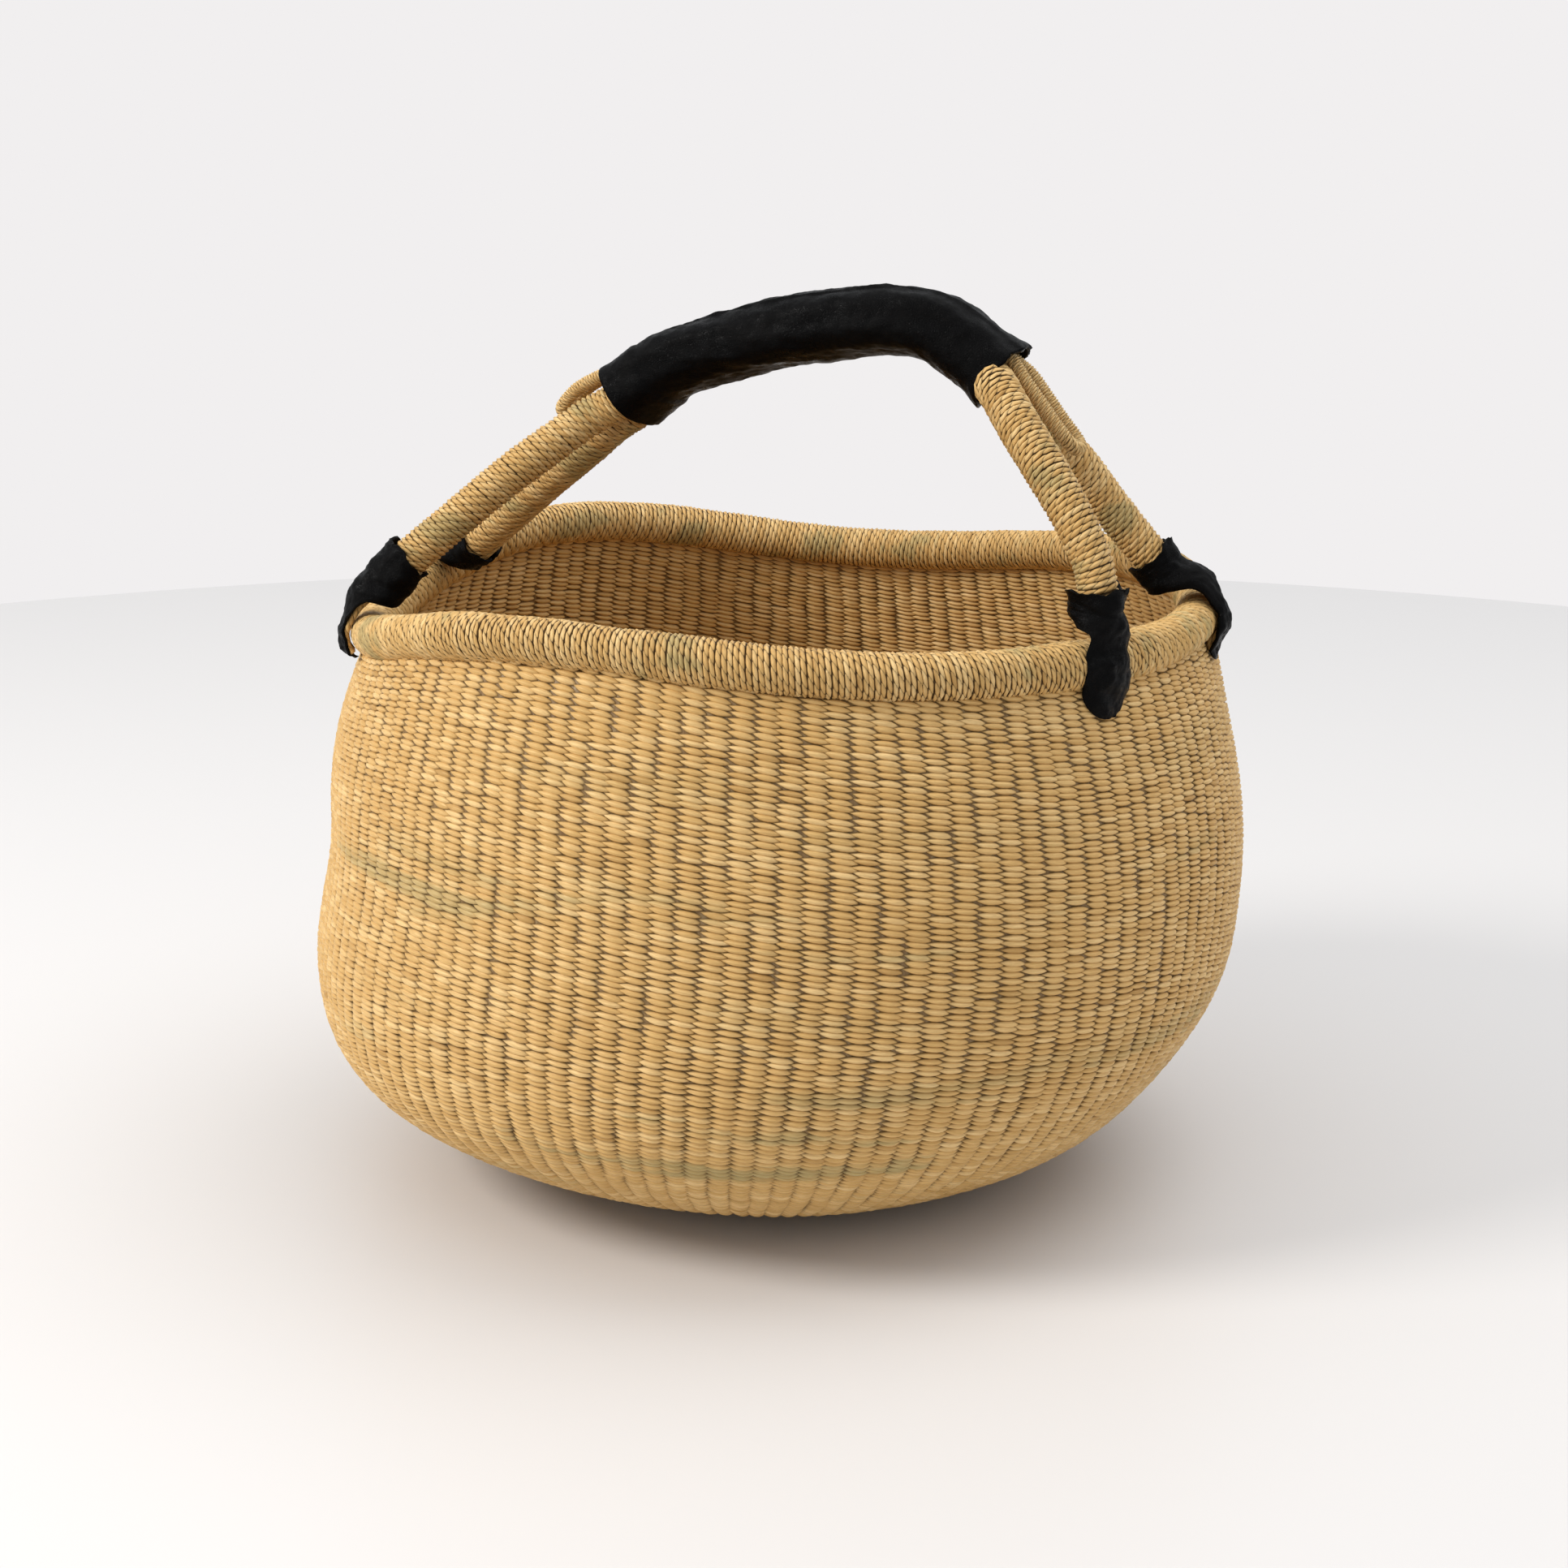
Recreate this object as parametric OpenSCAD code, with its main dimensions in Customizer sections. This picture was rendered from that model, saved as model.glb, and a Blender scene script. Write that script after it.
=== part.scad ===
// Round market basket of twined grass, with a double arched carrying handle,
// a black leather grip and four black leather foot straps over the rim.
// Units are millimetres, +Z is up, and the basket stands on the plane z = 0.
// The origin is the middle of the flat underside. The handle runs along X.

/* [Basket body] */
// Radius of the flat woven base
base_r = 64; // [56:1:76]
// Largest outer radius of the body
belly_r = 203.5; // [195:0.5:212]
// Height of the widest part of the body
belly_z = 119; // [105:1:130]
// Radius of the mouth, at the middle of the rim roll
mouth_r = 179; // [172:0.5:184]
// Mean height of the middle of the rim roll
mouth_z = 249; // [240:1:258]
// Thickness of the woven wall and base
wall_t = 4.6; // [4:0.1:5]
// How fast the lower curve spreads from the base, 1 is a plain ellipse
lower_power = 1.16; // [1:0.01:1.3]
// How fast the lower curve rises to the belly, 1 is a plain ellipse
lower_rise = 0.77; // [0.7:0.01:1]
// How far the soft lower wall has settled on its right side
settle_d = 3.6; // [0:0.1:5]
// Straightness of the upper curve, 2 is a parabola
upper_power = 2.3; // [1.8:0.05:2.8]
// How far the upper body leans away from the base centre
lean_d = 13.4; // [0:0.2:16]

/* [Rim] */
// Outer radius of the wrapped rim roll
rim_r = 9.8; // [9:0.1:10.5]
// Radius of the grass core in the rim
rim_core_r = 7.2; // [6.5:0.1:7.4]
// How strongly the rim rises and falls, 1 is as made
rim_wave = 1; // [0:0.1:1.2]

/* [Handle] */
// Outer radius of each wrapped handle bundle
bundle_r = 8.8; // [8.2:0.1:9]
// Radius of the grass core in each bundle
bundle_core_r = 6.6; // [6:0.1:6.8]
// Outer radius of the thin link cord that lies on the grip
link_r = 3.2; // [2.8:0.1:3.3]
// Radius of the core of the link cord
link_core_r = 2; // [1.6:0.1:2.1]

/* [Leather] */
// Thickness of the grip leather
grip_t = 1.2; // [1.2:0.1:2]
// Thickness of the foot leather
foot_t = 1.6; // [1.2:0.1:1.8]
// How far the foot leather hangs below the middle of the rim
foot_drop = 19; // [17:1:26]

/* [Hidden] */

straw = [0.80, 0.66, 0.40];
straw_light = [0.86, 0.73, 0.47];
straw_core = [0.70, 0.56, 0.33];
leather = [0.06, 0.06, 0.065];

gap = 0.3;          // clearance between neighbouring pieces
around = 60;        // facets round the body
wall_rings = 5;     // profile steps in each band of the wall

// ---- small vector helpers ----
function unit(v) = v / norm(v);
function mix(a, b, t) = a + (b - a) * t;
function smooth(t) = let (c = min(1, max(0, t))) c * c * (3 - 2 * c);
function flat(l) = [for (a = l) each a];
function less(v, n) = v - (v * n) * n;

// Catmull-Rom curve through hand-placed points, n steps in each span
function cr(a, b, c, d, t) = 0.5 * (2 * b + (c - a) * t
    + (2 * a - 5 * b + 4 * c - d) * t * t + (3 * b - a - 3 * c + d) * t * t * t);
function at(p, i) = p[min(len(p) - 1, max(0, i))];
function curve(p, n) = concat([for (i = [0 : len(p) - 2], k = [0 : n - 1])
    cr(at(p, i - 1), p[i], p[i + 1], at(p, i + 2), k / n)], [p[len(p) - 1]]);
function tangent(p, i) = unit(at(p, i + 1) - at(p, i - 1));

// ---- body shape: profile, lean and rim wave ----
lean_dir = [cos(21.5), sin(21.5)];
lean_z = 170;
function lean(z) = lean_d * smooth(z / lean_z) * lean_dir;
function wave(a) = rim_wave * (3 * cos(a + 68.5) + 2.8 * cos(2 * a + 137)
    + 7 * cos(3 * a - 86) + 3 * cos(4 * a + 110));
function prof(u) = u < 0.5
    ? let (s = pow(sin(180 * u), lower_power), c = pow(cos(180 * u), lower_rise))
        [base_r + (belly_r - base_r) * s, belly_z * (1 - c)]
    : let (t = 2 * u - 1)
        [belly_r - (belly_r - mouth_r - 1) * pow(t, upper_power), mix(belly_z, mouth_z, t)];
// unit normal of the profile, pointing out of the body
function prof_n(u) = let (e = 0.002, d = prof(min(1, u + e)) - prof(max(0, u - e)))
    unit([d[1], -d[0]]);
// point of the profile, moved inwards by d
function skin(u, d) = let (p = prof(u), n = prof_n(u)) [p[0] - d * n[0], max(p[1] - d * n[1], u == 0 ? d : 0)];
function settle(z, a) = settle_d * cos(a - 21.5) * smooth(z / 12) * (1 - smooth((z - 15) / 70));
function place(rz, a) = let (w = rz[1] + wave(a) * pow(max(0, rz[1] / mouth_z), 1.5) - settle(rz[1], a), s = lean(rz[1]))
    [rz[0] * cos(a) + s[0], rz[0] * sin(a) + s[1], w];
function rim_at(a) = place([mouth_r, mouth_z], a);
// outer radius of the body at a height above the belly
function wall_r(z) = belly_r - (belly_r - mouth_r - 1) * pow((z - belly_z) / (mouth_z - belly_z), upper_power);

// ---- sweeps ----
function strip(a, b, n) = [for (i = [0 : n - 1]) let (j = (i + 1) % n)
    each [[a + i, b + j, a + j], [a + i, b + i, b + j]]];
// solid swept through rings of points; loop joins the last ring to the first
module solid_sweep(rings, loop = false) {
    n = len(rings[0]);
    m = len(rings);
    side = [for (k = [0 : m - (loop ? 1 : 2)]) each strip(k * n, ((k + 1) % m) * n, n)];
    caps = loop ? [] : concat([[for (i = [0 : n - 1]) i]], [[for (i = [n - 1 : -1 : 0]) (m - 1) * n + i]]);
    polyhedron(flat(rings), concat(side, caps), convexity = 10);
}
// section made of an outer run of points and the matching inner run, swept with joined ends
module band_sweep(outer, inner) {
    n = len(outer[0]);
    m = len(outer);
    rings = [for (k = [0 : m - 1]) concat(outer[k], [for (i = [n - 1 : -1 : 0]) inner[k][i]])];
    w = 2 * n;
    side = [for (k = [0 : m - 2]) each strip((k + 1) * w, k * w, w)];
    cap = [for (i = [0 : n - 2]) each [[i + 1, i, w - 1 - i], [i + 1, w - 1 - i, w - 2 - i]]];
    e = (m - 1) * w;
    polyhedron(flat(rings), concat(side, cap,
        [for (f = cap) [f[0] + e, f[2] + e, f[1] + e]]), convexity = 10);
}
// hollow tube with open ends
module pipe_sweep(outer, inner) {
    n = len(outer[0]);
    m = len(outer);
    e = n * m;
    polyhedron(concat(flat(outer), flat(inner)), concat(
        [for (k = [0 : m - 2]) each strip(k * n, (k + 1) * n, n)],
        [for (k = [0 : m - 2]) each strip(e + (k + 1) * n, e + k * n, n)],
        strip(e, 0, n),
        strip((m - 1) * n, e + (m - 1) * n, n)), convexity = 10);
}

// ring of n points round a path point; s is the sideways guide
function ring(c, t, s, r, n) = let (x = unit(less(s, t)), y = cross(t, x))
    [for (i = [0 : n - 1]) c + r * (cos(360 * i / n) * x + sin(360 * i / n) * y)];
function rings(p, s, r, n) = [for (i = [0 : len(p) - 1]) ring(p[i], tangent(p, i), s, r, n)];

// ---- wall ----
module wall_part(u0, u1) {
    us = [for (i = [0 : wall_rings]) mix(u0, u1, i / wall_rings)];
    solid_sweep([for (j = [0 : around - 1]) let (a = -360 * j / around) concat(
        [for (u = us) place(skin(u, 0), a)],
        [for (i = [wall_rings : -1 : 0]) place(skin(us[i], wall_t), a)])], loop = true);
}
wall_top_u = 0.968;  // the wall stops inside the slit of the rim binding
module base_weave() color(straw)
    cylinder(h = wall_t, r = base_r - gap, $fn = 96);
module wall_foot() color(straw_light) wall_part(0, 0.17);
module wall_lower() color(straw) wall_part(0.17, 0.36);
module wall_belly() color(straw_light) wall_part(0.36, 0.66);
module wall_upper() color(straw) wall_part(0.66, wall_top_u);

// ---- rim ----
slit_dir = -68;      // the wall enters the roll from below and outside
slit_half = 30;      // half angle of the slit in the binding
rim_facets = 12;
function rim_pt(a, r, b) = let (c = rim_at(a)) c + r * [cos(b) * cos(a), cos(b) * sin(a), sin(b)];
module rim_core() color(straw_core)
    solid_sweep([for (j = [0 : around - 1]) [for (i = [0 : 9]) rim_pt(-360 * j / around, rim_core_r, 36 * i)]], loop = true);
module rim_binding() color(straw_light)
    solid_sweep([for (j = [0 : around - 1]) let (a = -360 * j / around,
        bs = [for (i = [0 : rim_facets]) slit_dir + slit_half + (360 - 2 * slit_half) * i / rim_facets])
        concat([for (b = bs) rim_pt(a, rim_r, b)],
            [for (i = [rim_facets : -1 : 0]) rim_pt(a, rim_core_r + gap, bs[i])])], loop = true);

// ---- grip: middle line of the leather, and the places beside it ----
across = [0, 1, 0];
grip_y = -27.5;
grip_pts = [[-45, 337.5], [-30, 347.8], [-14, 355], [4, 360.5], [22, 365.3], [40, 368.7], [58, 371.5], [72, 372.8], [84, 372.2],
    [94, 369.2], [103, 364.2], [111, 358.6], [118, 352.3]];
grip_roll = 12;      // the near bundle lies higher than the far one
grip_w = 19.6;       // half width inside the leather
grip_h = 12.4;       // half height inside the leather
grip_power = 3;      // squareness of its section
grip_line = [for (p = curve(grip_pts, 2)) [p[0], grip_y, p[1]]];
grip_last = len(grip_line) - 1;
function roll_x(t) = let (x = unit(less(across, t))) cos(grip_roll) * x - sin(grip_roll) * cross(t, x);
function beside(i, a, b) = let (t = tangent(grip_line, i), x = roll_x(t)) grip_line[i] + a * x + b * cross(t, x);
function in_grip(a, b) = [for (i = [0 : 2 : grip_last]) beside(i, a, b)];

// ---- handle bundles: legs placed by hand, side by side inside the grip ----
bundle_side = 9.3;   // each bundle's distance from the middle of the grip
bundle_low = -3.1;   // and below it
front_left_leg = [[-134, -88, 260], [-124, -84, 271], [-107, -74, 287], [-89, -62, 304], [-72, -50, 318.5], [-58, -41, 329.5]];
front_right_leg = [[124, -48, 349.5], [137, -60.5, 336.5], [151, -70, 321.5], [164, -75, 304], [172, -76.5, 289], [174.5, -76.5, 278], [174.5, -76, 269]];
rear_left_leg = [[-147.5, 10, 257], [-136, 7, 265], [-124, 3, 274], [-106, -3, 288], [-89.5, -9, 300], [-71, -15.5, 313], [-56, -19.5, 324.5]];
rear_right_leg = [[125, -11.5, 338.5], [134, -3.5, 326], [145, 4.5, 312], [156, 12, 295], [168, 17.5, 279], [178, 20.5, 267]];
front_line = curve(concat(front_left_leg, in_grip(-bundle_side, bundle_low), front_right_leg), 2);
rear_line = curve(concat(rear_left_leg, in_grip(bundle_side, bundle_low), rear_right_leg), 2);
bundle_facets = 12;
module bundle_core(p) color(straw_core) solid_sweep(rings(p, across, bundle_core_r, 8));
module bundle_binding(p) color(straw_light)
    pipe_sweep(rings(p, across, bundle_r, bundle_facets), rings(p, across, bundle_core_r + gap, bundle_facets));
module handle_front_core() bundle_core(front_line);
module handle_front_binding() bundle_binding(front_line);
module handle_rear_core() bundle_core(rear_line);
module handle_rear_binding() bundle_binding(rear_line);

// ---- thin link cord: a long narrow ring lying on the two bundles ----
link_half = 6.2;     // half the distance between its two strands
link_high = 8.5;     // its height over the middle of the grip
link_left = [[-73, 334.5], [-68, 339.5], [-61, 343.5], [-53, 347]];
link_right = [[130, 352.5], [137, 343.5], [143, 335.5], [148, 329.5]];
function strand(y) = concat([for (p = link_left) [p[0], grip_y + y, p[1]]], in_grip(y, link_high),
    [for (p = link_right) [p[0], grip_y + y, p[1]]]);
function turn_back(c, d, side) = [for (k = [1 : 5]) let (a = -90 + 30 * k)
    [c[0], grip_y, c[1]] + link_half * (cos(a) * [d[0], 0, d[1]] + side * sin(a) * across)];
near_strand = strand(-link_half);
far_strand = strand(link_half);
link_last = len(near_strand) - 1;
link_start = 9;      // the wrap starts and ends under the leather
link_loop = concat([for (i = [link_start : link_last]) near_strand[i]],
    turn_back(link_right[len(link_right) - 1], unit([5, -6.3]), 1),
    [for (i = [link_last : -1 : 0]) far_strand[i]],
    turn_back(link_left[0], unit([-4, -5]), -1),
    [for (i = [0 : link_start - 1]) near_strand[i]],
    [mix(near_strand[link_start - 1], near_strand[link_start], 0.98)]);
link_guide = [-0.48, 0, 0.88];
function link_rings(r) = rings(link_loop, link_guide, r, 8);
module grip_link_core() color(straw_core) solid_sweep(link_rings(link_core_r));
module grip_link_binding() color(straw_light) pipe_sweep(link_rings(link_r), link_rings(link_core_r + gap));

// ---- leather grip ----
grip_facets = 20;
function sgn_pow(v) = sign(v) * pow(abs(v), 2 / grip_power);
function ovals(i0, i1, d) = [for (i = [i0 : i1]) [for (k = [0 : grip_facets - 1]) let (a = 360 * k / grip_facets)
    beside(i, (grip_w + d) * sgn_pow(cos(a)), (grip_h + d) * sgn_pow(sin(a)))]];
module leather_tube(i0, i1, d, t) color(leather) pipe_sweep(ovals(i0, i1, d + t), ovals(i0, i1, d));
cuff_t = 0.8;        // the folded hem lies over the sleeve end
cuff_d = grip_t + gap / 2;
module grip_sleeve() leather_tube(0, grip_last, 0, grip_t);
module grip_cuff_left() leather_tube(0, 2, cuff_d, cuff_t);
module grip_cuff_right() leather_tube(grip_last - 2, grip_last, cuff_d, cuff_t);
seam_w = 5;
seam_t = 1;
seam_d = grip_h + grip_t + gap / 2;
seam_section = [[-1, 1], [1, 1], [1, 0], [-1, 0]];
// stitched lap of the leather, along the underside of the grip
module grip_seam() color(leather)
    solid_sweep([for (i = [3 : grip_last - 3])
        [for (q = seam_section) beside(i, q[0] * seam_w / 2, -seam_d - q[1] * seam_t)]]);

// ---- feet: straw cords round the rim and the leather over them ----
foot_front_left = -148.5;
foot_front_right = -26.5;
foot_rear_left = 176;
foot_rear_right = 6.5;
cord_t = 2.2;        // thickness of the lashing cords
cord_w = 9.6;        // width of the three cords side by side
cord_mid = rim_r + gap + cord_t / 2;
strap_r = rim_r + cord_t + 2 * gap + foot_t / 2;
cord_section = [[-1, 0], [-0.8, -1], [0.8, -1], [1, 0], [0.8, 1], [-0.8, 1]];
function radial(a) = [cos(a), sin(a), 0];
function side_of(a) = [-sin(a), cos(a), 0];
function lift(a, b) = cos(b) * radial(a) + [0, 0, sin(b)];
function polar(a, r, b) = rim_at(a) + r * lift(a, b);
function below(a, z, d) = rim_at(a) + (wall_r(mouth_z - z) - mouth_r + d) * radial(a) - [0, 0, z];
// p is a bundle's line from this foot upwards
module lashing(p, a) {
    line = curve([p[0] - 1.2 * tangent(p, 0), polar(a, cord_mid + 2.5, 72), polar(a, cord_mid, 40), polar(a, cord_mid, 10),
        polar(a, cord_mid, -18), below(a, 12, 2.2), below(a, 17, 2)], 2);
    color(straw_light) solid_sweep([for (i = [0 : len(line) - 1]) let (t = tangent(line, i), x = unit(less(side_of(a), t)), n = cross(t, x))
        [for (q = cord_section) line[i] + q[0] * cord_w / 2 * x + q[1] * cord_t / 2 * n]]);
}
arc_steps = 12;
function arc_pts(q, d) = [for (i = [0 : arc_steps]) let (b = q[4] * (2 * i / arc_steps - 1))
    q[0] - q[3] * q[1] + (q[3] + d) * (cos(b) * q[1] + sin(b) * q[2])];
// stations are [apex point, outward normal, sideways, bend radius across, half angle of the bend]
module strap(p, a) {
    r = bundle_r + gap + foot_t / 2;
    s = side_of(a);
    n0 = unit(less(radial(a), tangent(p, 0)));
    collar = [for (i = [2 : -1 : 0]) let (t = tangent(p, i), n = unit(less(radial(a), t)))
        [p[i] + r * n, n, cross(t, n), r, 172]];
    n1 = unit(n0 + lift(a, 50));
    over = [
        [mix(p[0] + r * n0, polar(a, strap_r + 1, 45), 0.5) + 4.5 * n1, n1, unit(less(s, n1)), 15, 58],
        [polar(a, strap_r + 1, 34), lift(a, 34), s, 26, 28],
        [polar(a, strap_r, 8), lift(a, 8), s, 38, 20],
        [polar(a, strap_r, -16), lift(a, -12), s, 38, 20],
        [below(a, 13, 6.4), lift(a, -6), s, 34, 22],
        [below(a, foot_drop, 3), lift(a, 10), s, 30, 20]];
    st = concat(collar, over);
    color(leather) band_sweep([for (q = st) arc_pts(q, foot_t / 2)], [for (q = st) arc_pts(q, -foot_t / 2)]);
}
function back(p) = [for (i = [len(p) - 1 : -1 : 0]) p[i]];
module foot_cord_front_left() lashing(front_line, foot_front_left);
module foot_cord_front_right() lashing(back(front_line), foot_front_right);
module foot_cord_rear_left() lashing(rear_line, foot_rear_left);
module foot_cord_rear_right() lashing(back(rear_line), foot_rear_right);
module foot_leather_front_left() strap(front_line, foot_front_left);
module foot_leather_front_right() strap(back(front_line), foot_front_right);
module foot_leather_rear_left() strap(rear_line, foot_rear_left);
module foot_leather_rear_right() strap(back(rear_line), foot_rear_right);

base_weave();
wall_foot();
wall_lower();
wall_belly();
wall_upper();
rim_core();
rim_binding();
handle_front_core();
handle_front_binding();
handle_rear_core();
handle_rear_binding();
grip_link_core();
grip_link_binding();
grip_sleeve();
grip_cuff_left();
grip_cuff_right();
grip_seam();
foot_cord_front_left();
foot_cord_front_right();
foot_cord_rear_left();
foot_cord_rear_right();
foot_leather_front_left();
foot_leather_front_right();
foot_leather_rear_left();
foot_leather_rear_right();
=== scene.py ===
"""Round market basket of twined grass with a wrapped rim, a double arched handle and black leather fittings.

Each operator makes one piece, or one group of like pieces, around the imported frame. Sizes are in metres,
except where a heading or a comment says mm.
"""

import math

import bmesh
import bpy
import numpy as np
from bpy.props import FloatProperty, FloatVectorProperty, IntProperty, PointerProperty
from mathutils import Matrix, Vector, noise


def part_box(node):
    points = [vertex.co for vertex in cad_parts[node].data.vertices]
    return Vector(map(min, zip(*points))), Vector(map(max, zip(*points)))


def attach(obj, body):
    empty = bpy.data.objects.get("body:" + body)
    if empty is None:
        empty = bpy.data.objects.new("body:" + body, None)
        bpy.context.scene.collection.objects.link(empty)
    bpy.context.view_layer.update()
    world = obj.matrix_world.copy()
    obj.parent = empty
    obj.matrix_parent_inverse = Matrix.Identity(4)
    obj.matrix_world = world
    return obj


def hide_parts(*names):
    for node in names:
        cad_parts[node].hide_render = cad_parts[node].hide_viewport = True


bl_info = {
    "name": "Twined Market Basket",
    "version": (1, 0, 0),
    "blender": (4, 5, 0),
    "location": "View3D > Sidebar > Basket",
    "description": "Makes a round twined grass basket with wrapped handles and leather fittings",
    "category": "Add Mesh",
}

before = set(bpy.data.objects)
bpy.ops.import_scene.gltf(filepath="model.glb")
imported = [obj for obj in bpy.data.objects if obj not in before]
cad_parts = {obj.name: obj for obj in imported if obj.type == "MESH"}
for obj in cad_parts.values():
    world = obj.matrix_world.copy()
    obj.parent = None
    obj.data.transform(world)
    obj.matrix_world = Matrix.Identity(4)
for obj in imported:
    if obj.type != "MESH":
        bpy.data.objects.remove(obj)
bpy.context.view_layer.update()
ROOT = "root"
MM = 0.001

base_low, base_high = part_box("base_weave")
belly_low, belly_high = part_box("wall_belly")
BASE_RADIUS = (base_high.x - base_low.x) / 2
WALL_THICK = base_high.z
BELLY_RADIUS = (belly_high.y - belly_low.y) / 2 - 0.15 * MM


# ---------------------------------------------------------------- settings
def length(name, text, value, low=0.0, high=1.0):
    return FloatProperty(
        name=name, description=text, default=value, min=low, max=high, unit="LENGTH", precision=4
    )


def amount(name, text, value, low=0.0, high=1.0):
    return FloatProperty(name=name, description=text, default=value, min=low, max=high)


def number(name, text, value, low=1, high=2000):
    return IntProperty(name=name, description=text, default=value, min=low, max=high)


def colour(name, text, value):
    return FloatVectorProperty(
        name=name, description=text, default=value, size=3, min=0.0, max=1.0, subtype="COLOR"
    )


class BasketShape(bpy.types.PropertyGroup):
    base_radius: length("Base radius", "Radius of the flat woven base", BASE_RADIUS)
    belly_radius: length("Belly radius", "Largest outer radius of the body", BELLY_RADIUS)
    belly_height: length("Belly height", "Height of the widest part", 0.119)
    mouth_radius: length("Mouth radius", "Radius of the middle of the rim roll", 0.179)
    mouth_height: length("Mouth height", "Mean height of the middle of the rim roll", 0.249)
    wall_thick: length("Wall thickness", "Thickness of the woven wall", WALL_THICK)
    lean: length("Lean", "How far the upper body leans from the base", 0.0134)
    lean_height: length("Lean height", "Height at which the lean is complete", 0.17)
    settle: length("Settle", "How far the lower wall has settled on one side", 0.0036)
    dent: length("Dent", "Depth of the soft dents in the sides", 0.0032)


class BasketWeave(bpy.types.PropertyGroup):
    stakes: number("Stakes", "Stakes round the body", 130)
    row_pitch: length("Row pitch", "Height of one twined row", 0.00245)
    slant: amount("Slant", "Fall of a stitch across one stake, in rows", 0.7, -3, 3)
    lift: amount("Lift", "Height of a stitch's crest, in mm", 1.0, 0, 3)
    sink: amount("Sink", "Depth of a stitch's edges, in mm", 1.3, 0, 3)
    jitter: amount("Jitter", "Unevenness of the stitches", 0.1, 0, 0.5)
    seed: number("Seed", "Seed of the unevenness", 11)


class BasketWraps(bpy.types.PropertyGroup):
    rim_radius: length("Rim radius", "Outer radius of the wrapped rim roll", 0.0098)
    bundle_radius: length("Bundle radius", "Outer radius of a wrapped handle bundle", 0.0088)
    link_radius: length("Link radius", "Outer radius of the thin link cord", 0.0032)
    cord_radius: length("Cord radius", "Half the thickness of the wrapping cord", 0.00128)
    cord_pitch: length("Cord pitch", "Distance from one wrap to the next", 0.0022)
    lean: amount("Lean", "Slant of the wraps, in radians", 0.14, -1, 1)


class BasketColours(bpy.types.PropertyGroup):
    straw_light: colour("Straw light", "Palest golden straw", (0.86, 0.61, 0.285))
    straw_mid: colour("Straw", "Usual golden straw", (0.68, 0.425, 0.155))
    straw_dark: colour("Straw dark", "Darkest straw", (0.40, 0.215, 0.062))
    straw_green: colour("Straw green", "Greenish grey straw", (0.42, 0.335, 0.145))
    # Dark colour for the painted shade in the gaps between stitches and wraps.
    gap_shade_colour: colour("Gap", "Straw deep in the gaps", (0.062, 0.027, 0.007))
    leather: colour("Leather", "Black leather", (0.002, 0.0019, 0.002))
    leather_worn: colour("Worn leather", "Leather on creases and edges", (0.007, 0.0064, 0.006))


class BasketStage(bpy.types.PropertyGroup):
    floor_radius: length("Floor radius", "Radius of the pale floor", 1.44, 0.5, 10)
    lens: amount("Lens", "Focal length of the camera, in mm", 63.99, 10, 300)
    camera_distance: length("Camera distance", "Level distance from the camera to the basket", 1.2, 0.2, 10)
    camera_height: length("Camera height", "Height of the camera", 0.479, 0, 10)
    camera_turn: amount("Camera turn", "Degrees from the handle to the camera's right", 21.5, -180, 180)
    camera_pitch: amount("Camera pitch", "How far the camera looks down, in degrees", 14.72, -90, 90)


class BasketSettings(bpy.types.PropertyGroup):
    shape: PointerProperty(type=BasketShape)
    weave: PointerProperty(type=BasketWeave)
    wraps: PointerProperty(type=BasketWraps)
    colours: PointerProperty(type=BasketColours)
    stage: PointerProperty(type=BasketStage)


def settings():
    return bpy.context.scene.basket


# ---------------------------------------------------------------- curves and surfaces
def unit(v):
    return v / np.maximum(np.linalg.norm(v, axis=-1, keepdims=True), 1e-9)


def ease(t):
    t = np.clip(t, 0, 1)
    return t * t * (3 - 2 * t)


def hump(z, middle, width):
    """Smooth rise that is 1 at its middle."""
    return np.exp(-(((z - middle) / width) ** 2))


def smooth_line(points, steps):
    """Catmull-Rom curve through points, with steps in each span."""
    p = np.asarray(points, float)
    p = np.vstack([p[:1], p, p[-1:]])
    t = np.arange(steps)[:, None] / steps
    spans = []
    for a, b, c, d in zip(p[:-3], p[1:-2], p[2:-1], p[3:]):
        start = 2 * b + (c - a) * t
        spans.append(0.5 * (start + (2 * a - 5 * b + 4 * c - d) * t**2 + (3 * b - a - 3 * c + d) * t**3))
    return np.vstack(spans + [p[-1:]])


def even_line(points, step):
    """The same line with its points at equal distances."""
    gaps = np.linalg.norm(np.diff(points, axis=0), axis=1)
    along = np.concatenate([[0], np.cumsum(gaps)])
    marks = np.linspace(0, along[-1], max(2, int(round(along[-1] / step)) + 1))
    return np.stack([np.interp(marks, along, points[:, k]) for k in range(points.shape[1])], 1)


def line_length(points):
    return float(np.linalg.norm(np.diff(points, axis=0), axis=1).sum())


def tangents(points):
    ahead = np.vstack([points[1:], points[-1:]])
    behind = np.vstack([points[:1], points[:-1]])
    return unit(ahead - behind)


def without(v, n):
    return v - np.sum(v * n, -1, keepdims=True) * n


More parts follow.
